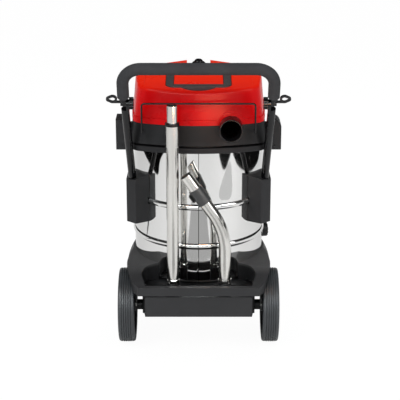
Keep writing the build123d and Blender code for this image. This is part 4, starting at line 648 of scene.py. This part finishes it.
# %% A mesh from a grid
def grid_mesh(name, points, body, finish):
    """An object whose mesh joins a grid of points (rows, columns, 3), closed round its rows and
    its columns. Each quad joins a point to the next in its row and column."""
    rows, columns = points.shape[:2]
    index = np.arange(rows * columns).reshape(rows, columns)
    index = np.concatenate([index, index[:1]])
    index = np.concatenate([index, index[:, :1]], axis=1)
    quads = np.stack([index[:-1, :-1], index[:-1, 1:], index[1:, 1:], index[1:, :-1]], axis=-1)
    quads = quads.reshape(-1, 4)
    mesh = bpy.data.meshes.new(name)
    mesh.vertices.add(rows * columns)
    mesh.vertices.foreach_set("co", points.reshape(-1).astype(np.float32))
    mesh.loops.add(quads.size)
    mesh.loops.foreach_set("vertex_index", quads.reshape(-1).astype(np.int32))
    mesh.polygons.add(len(quads))
    mesh.polygons.foreach_set("loop_start", np.arange(0, quads.size, 4, dtype=np.int32))
    mesh.polygons.foreach_set("use_smooth", np.ones(len(quads), bool))
    mesh.update(calc_edges=True)
    mesh.validate()
    made = place_object(name, mesh)
    mesh.materials.append(finish)
    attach(made, body)
    print(name, "points:", rows * columns)
    return made


# %% [markdown]
# ## Foam grip
# The grip is a thick foam sleeve pushed over a bent steel tube. It could be a curve with a round
# bevel, but a surface worked out point by point lets its ends be rounded off and lets the foam
# swell a little where hands don't press it. One number runs along the bent line, the other runs
# round it.

# %% Line of the grip
grip_low, grip_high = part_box("foam_grip")
grip_radius = 0.0165
grip_bend = 0.050
grip_tilt = np.radians(24.5)
points_along = 480
across = np.array([1.0, 0.0, 0.0])
lean = np.array([0.0, -np.sin(grip_tilt), np.cos(grip_tilt)])
out = np.cross(across, lean)


def grip_line():
    """The line goes up one leg, turns a quarter circle, runs across and comes down again: its
    heading falls from 90 to -90 degrees on the two bends, and its points are the running sum of
    the heading. Returns the way along it, its points and the direction to its outer side."""
    half_width = (grip_high.x - grip_low.x) / 2 - grip_radius
    top = np.array([0.0, grip_low.y + grip_radius, grip_high.z - grip_radius])
    leg = grip_high.z - grip_low.z - grip_radius - grip_radius * np.sin(grip_tilt)
    leg = leg / np.cos(grip_tilt) - grip_bend
    arc = grip_bend * np.pi / 2
    run = 2 * (half_width - grip_bend)
    t = np.linspace(0, 2 * leg + 2 * arc + run, points_along)
    heading = np.pi / 2 - np.clip(t - leg, 0, arc) / grip_bend
    heading -= np.clip(t - leg - arc - run, 0, arc) / grip_bend
    ahead = np.outer(np.cos(heading), across) + np.outer(np.sin(heading), lean)
    side = np.outer(-np.sin(heading), across) + np.outer(np.cos(heading), lean)
    steps = (ahead[1:] + ahead[:-1]) / 2 * (t[1] - t[0])
    line = np.concatenate([np.zeros((1, 3)), np.cumsum(steps, axis=0)])
    line += top - line[len(t) // 2 - 1: len(t) // 2 + 1].mean(axis=0)
    return t, line, side


print("grip line:", round(grip_line()[0][-1], 3), "m long")

# %% Foam sleeve round the line
tube_radius = 0.011
grip_clear, bore_clear = 0.0002, 0.0001  # inside its box, and off the tube
end_rounding = 0.003
swell, swell_waves = 0.00012, (95.0, 41.0)
points_round = 56


def foam_grip():
    """Round the line, point = line + r (cos v side + sin v out). The outer sleeve is followed
    forwards and the bore backwards, so the grid closes on itself. r swells and sinks by two slow
    waves, and rounds off over the last 3 mm of each end."""
    t, line, side = grip_line()
    inset = np.clip(end_rounding - np.minimum(t, t[-1] - t), 0, end_rounding)
    outer = grip_radius - grip_clear - (end_rounding - np.sqrt(end_rounding**2 - inset**2))
    outer += swell * np.sin(t * swell_waves[0]) * np.cos(t * swell_waves[1])
    bore = np.full_like(t, tube_radius + bore_clear)
    line = np.concatenate([line, line[::-1]])
    side = np.concatenate([side, side[::-1]])
    radius = np.concatenate([outer, bore[::-1]])
    v = np.linspace(0, 2 * np.pi, points_round, endpoint=False)
    ring = side[:, None] * np.cos(v)[None, :, None] + out * np.sin(v)[None, :, None]
    return line[:, None] + radius[:, None, None] * ring


grip = grid_mesh("grip_sleeve", foam_grip(), "handle", finishes["foam"])
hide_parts("foam_grip")

# %% [markdown]
# ## Tyres
# A tyre is a shape turned about its axle, so one outline is enough: a crowned tread with grooves,
# round shoulders, and side walls that dip in and carry two thin raised rings. A lathe tool or a
# Screw modifier would do it too; here the outline is an array, and turning it is one outer
# product.

# %% Outline of a tyre
tyre_clear = 0.0002
rim_clear = 0.0001
tyre_depth = 0.020
shoulder = 0.005
crown = 0.0011
groove_count, groove_depth, groove_half_width = 5, 0.0022, 0.0011
tread_edge = 0.004
wall_dip = 0.0012
bead_lip = 0.0015
wall_rings = [
    # (place above the bead, height, half width)
    (0.0045, 0.0009, 0.0008),
    (0.0105, 0.0005, 0.0006),
]
tread_points, round_points, wall_points, turn_points = 145, 9, 41, 160


def tyre_outline(half, top):
    """A closed loop of (across, radius). The tread's radius falls with the fourth power of the
    distance from its middle and dips by a smooth bell at each groove. The wall dips by a squared
    sine and rises by a bell at each ring."""
    bead = top - tyre_depth
    x = np.linspace(-1, 1, tread_points)
    middle_groove = (groove_count + 1) / 2
    groove_at = np.arange(1, groove_count + 1) - middle_groove
    groove_at = groove_at * (2 * half - 2 * tread_edge) / (groove_count + 1)
    tread_x = x * (half - shoulder)
    bell = np.exp(-(((tread_x[:, None] - groove_at) / groove_half_width) ** 4)).sum(axis=1)
    tread_r = top - tyre_clear - crown * x**4 - groove_depth * bell
    turn = np.linspace(0, np.pi / 2, round_points)[1:]
    round_x = half - shoulder + shoulder * np.sin(turn)
    round_r = tread_r[-1] - shoulder + shoulder * np.cos(turn)
    down = np.linspace(0, 1, wall_points)[1:-1]
    wall_r = round_r[-1] + (bead + bead_lip - round_r[-1]) * down
    wall_x = half - wall_dip * np.sin(np.pi * down) ** 2
    for above, height, width in wall_rings:
        wall_x += height * np.exp(-(((wall_r - bead - above) / width) ** 2))
    wall_x = np.minimum(wall_x, half)
    side_x = np.concatenate([round_x, wall_x, [half - bead_lip]])
    side_r = np.concatenate([round_r, wall_r, [bead + rim_clear]])
    outline_x = np.concatenate([tread_x, side_x, -side_x[::-1]])
    outline_r = np.concatenate([tread_r, side_r, side_r[::-1]])
    return outline_x, outline_r


print("grooves in the tread:", groove_count)

# %% Turn the outline into two tyres
def tyre(name):
    """Turned: point = axle + (across, -radius cos a, radius sin a) for the angle a."""
    low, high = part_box(name)
    top = (high.z - low.z) / 2
    x, radius = tyre_outline((high.x - low.x) / 2 - tyre_clear, top)
    a = np.linspace(0, 2 * np.pi, turn_points, endpoint=False)[:, None]
    axle = np.array([(low.x + high.x) / 2, (low.y + high.y) / 2, (low.z + high.z) / 2])
    return axle + np.stack([x + 0 * a, -radius * np.cos(a), radius * np.sin(a)], axis=-1)


for side in ("left", "right"):
    points = tyre("tyre_" + side)
    made = grid_mesh("ribbed_tyre_" + side, points, "wheel_" + side, finishes["tyre"])
    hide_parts("tyre_" + side)
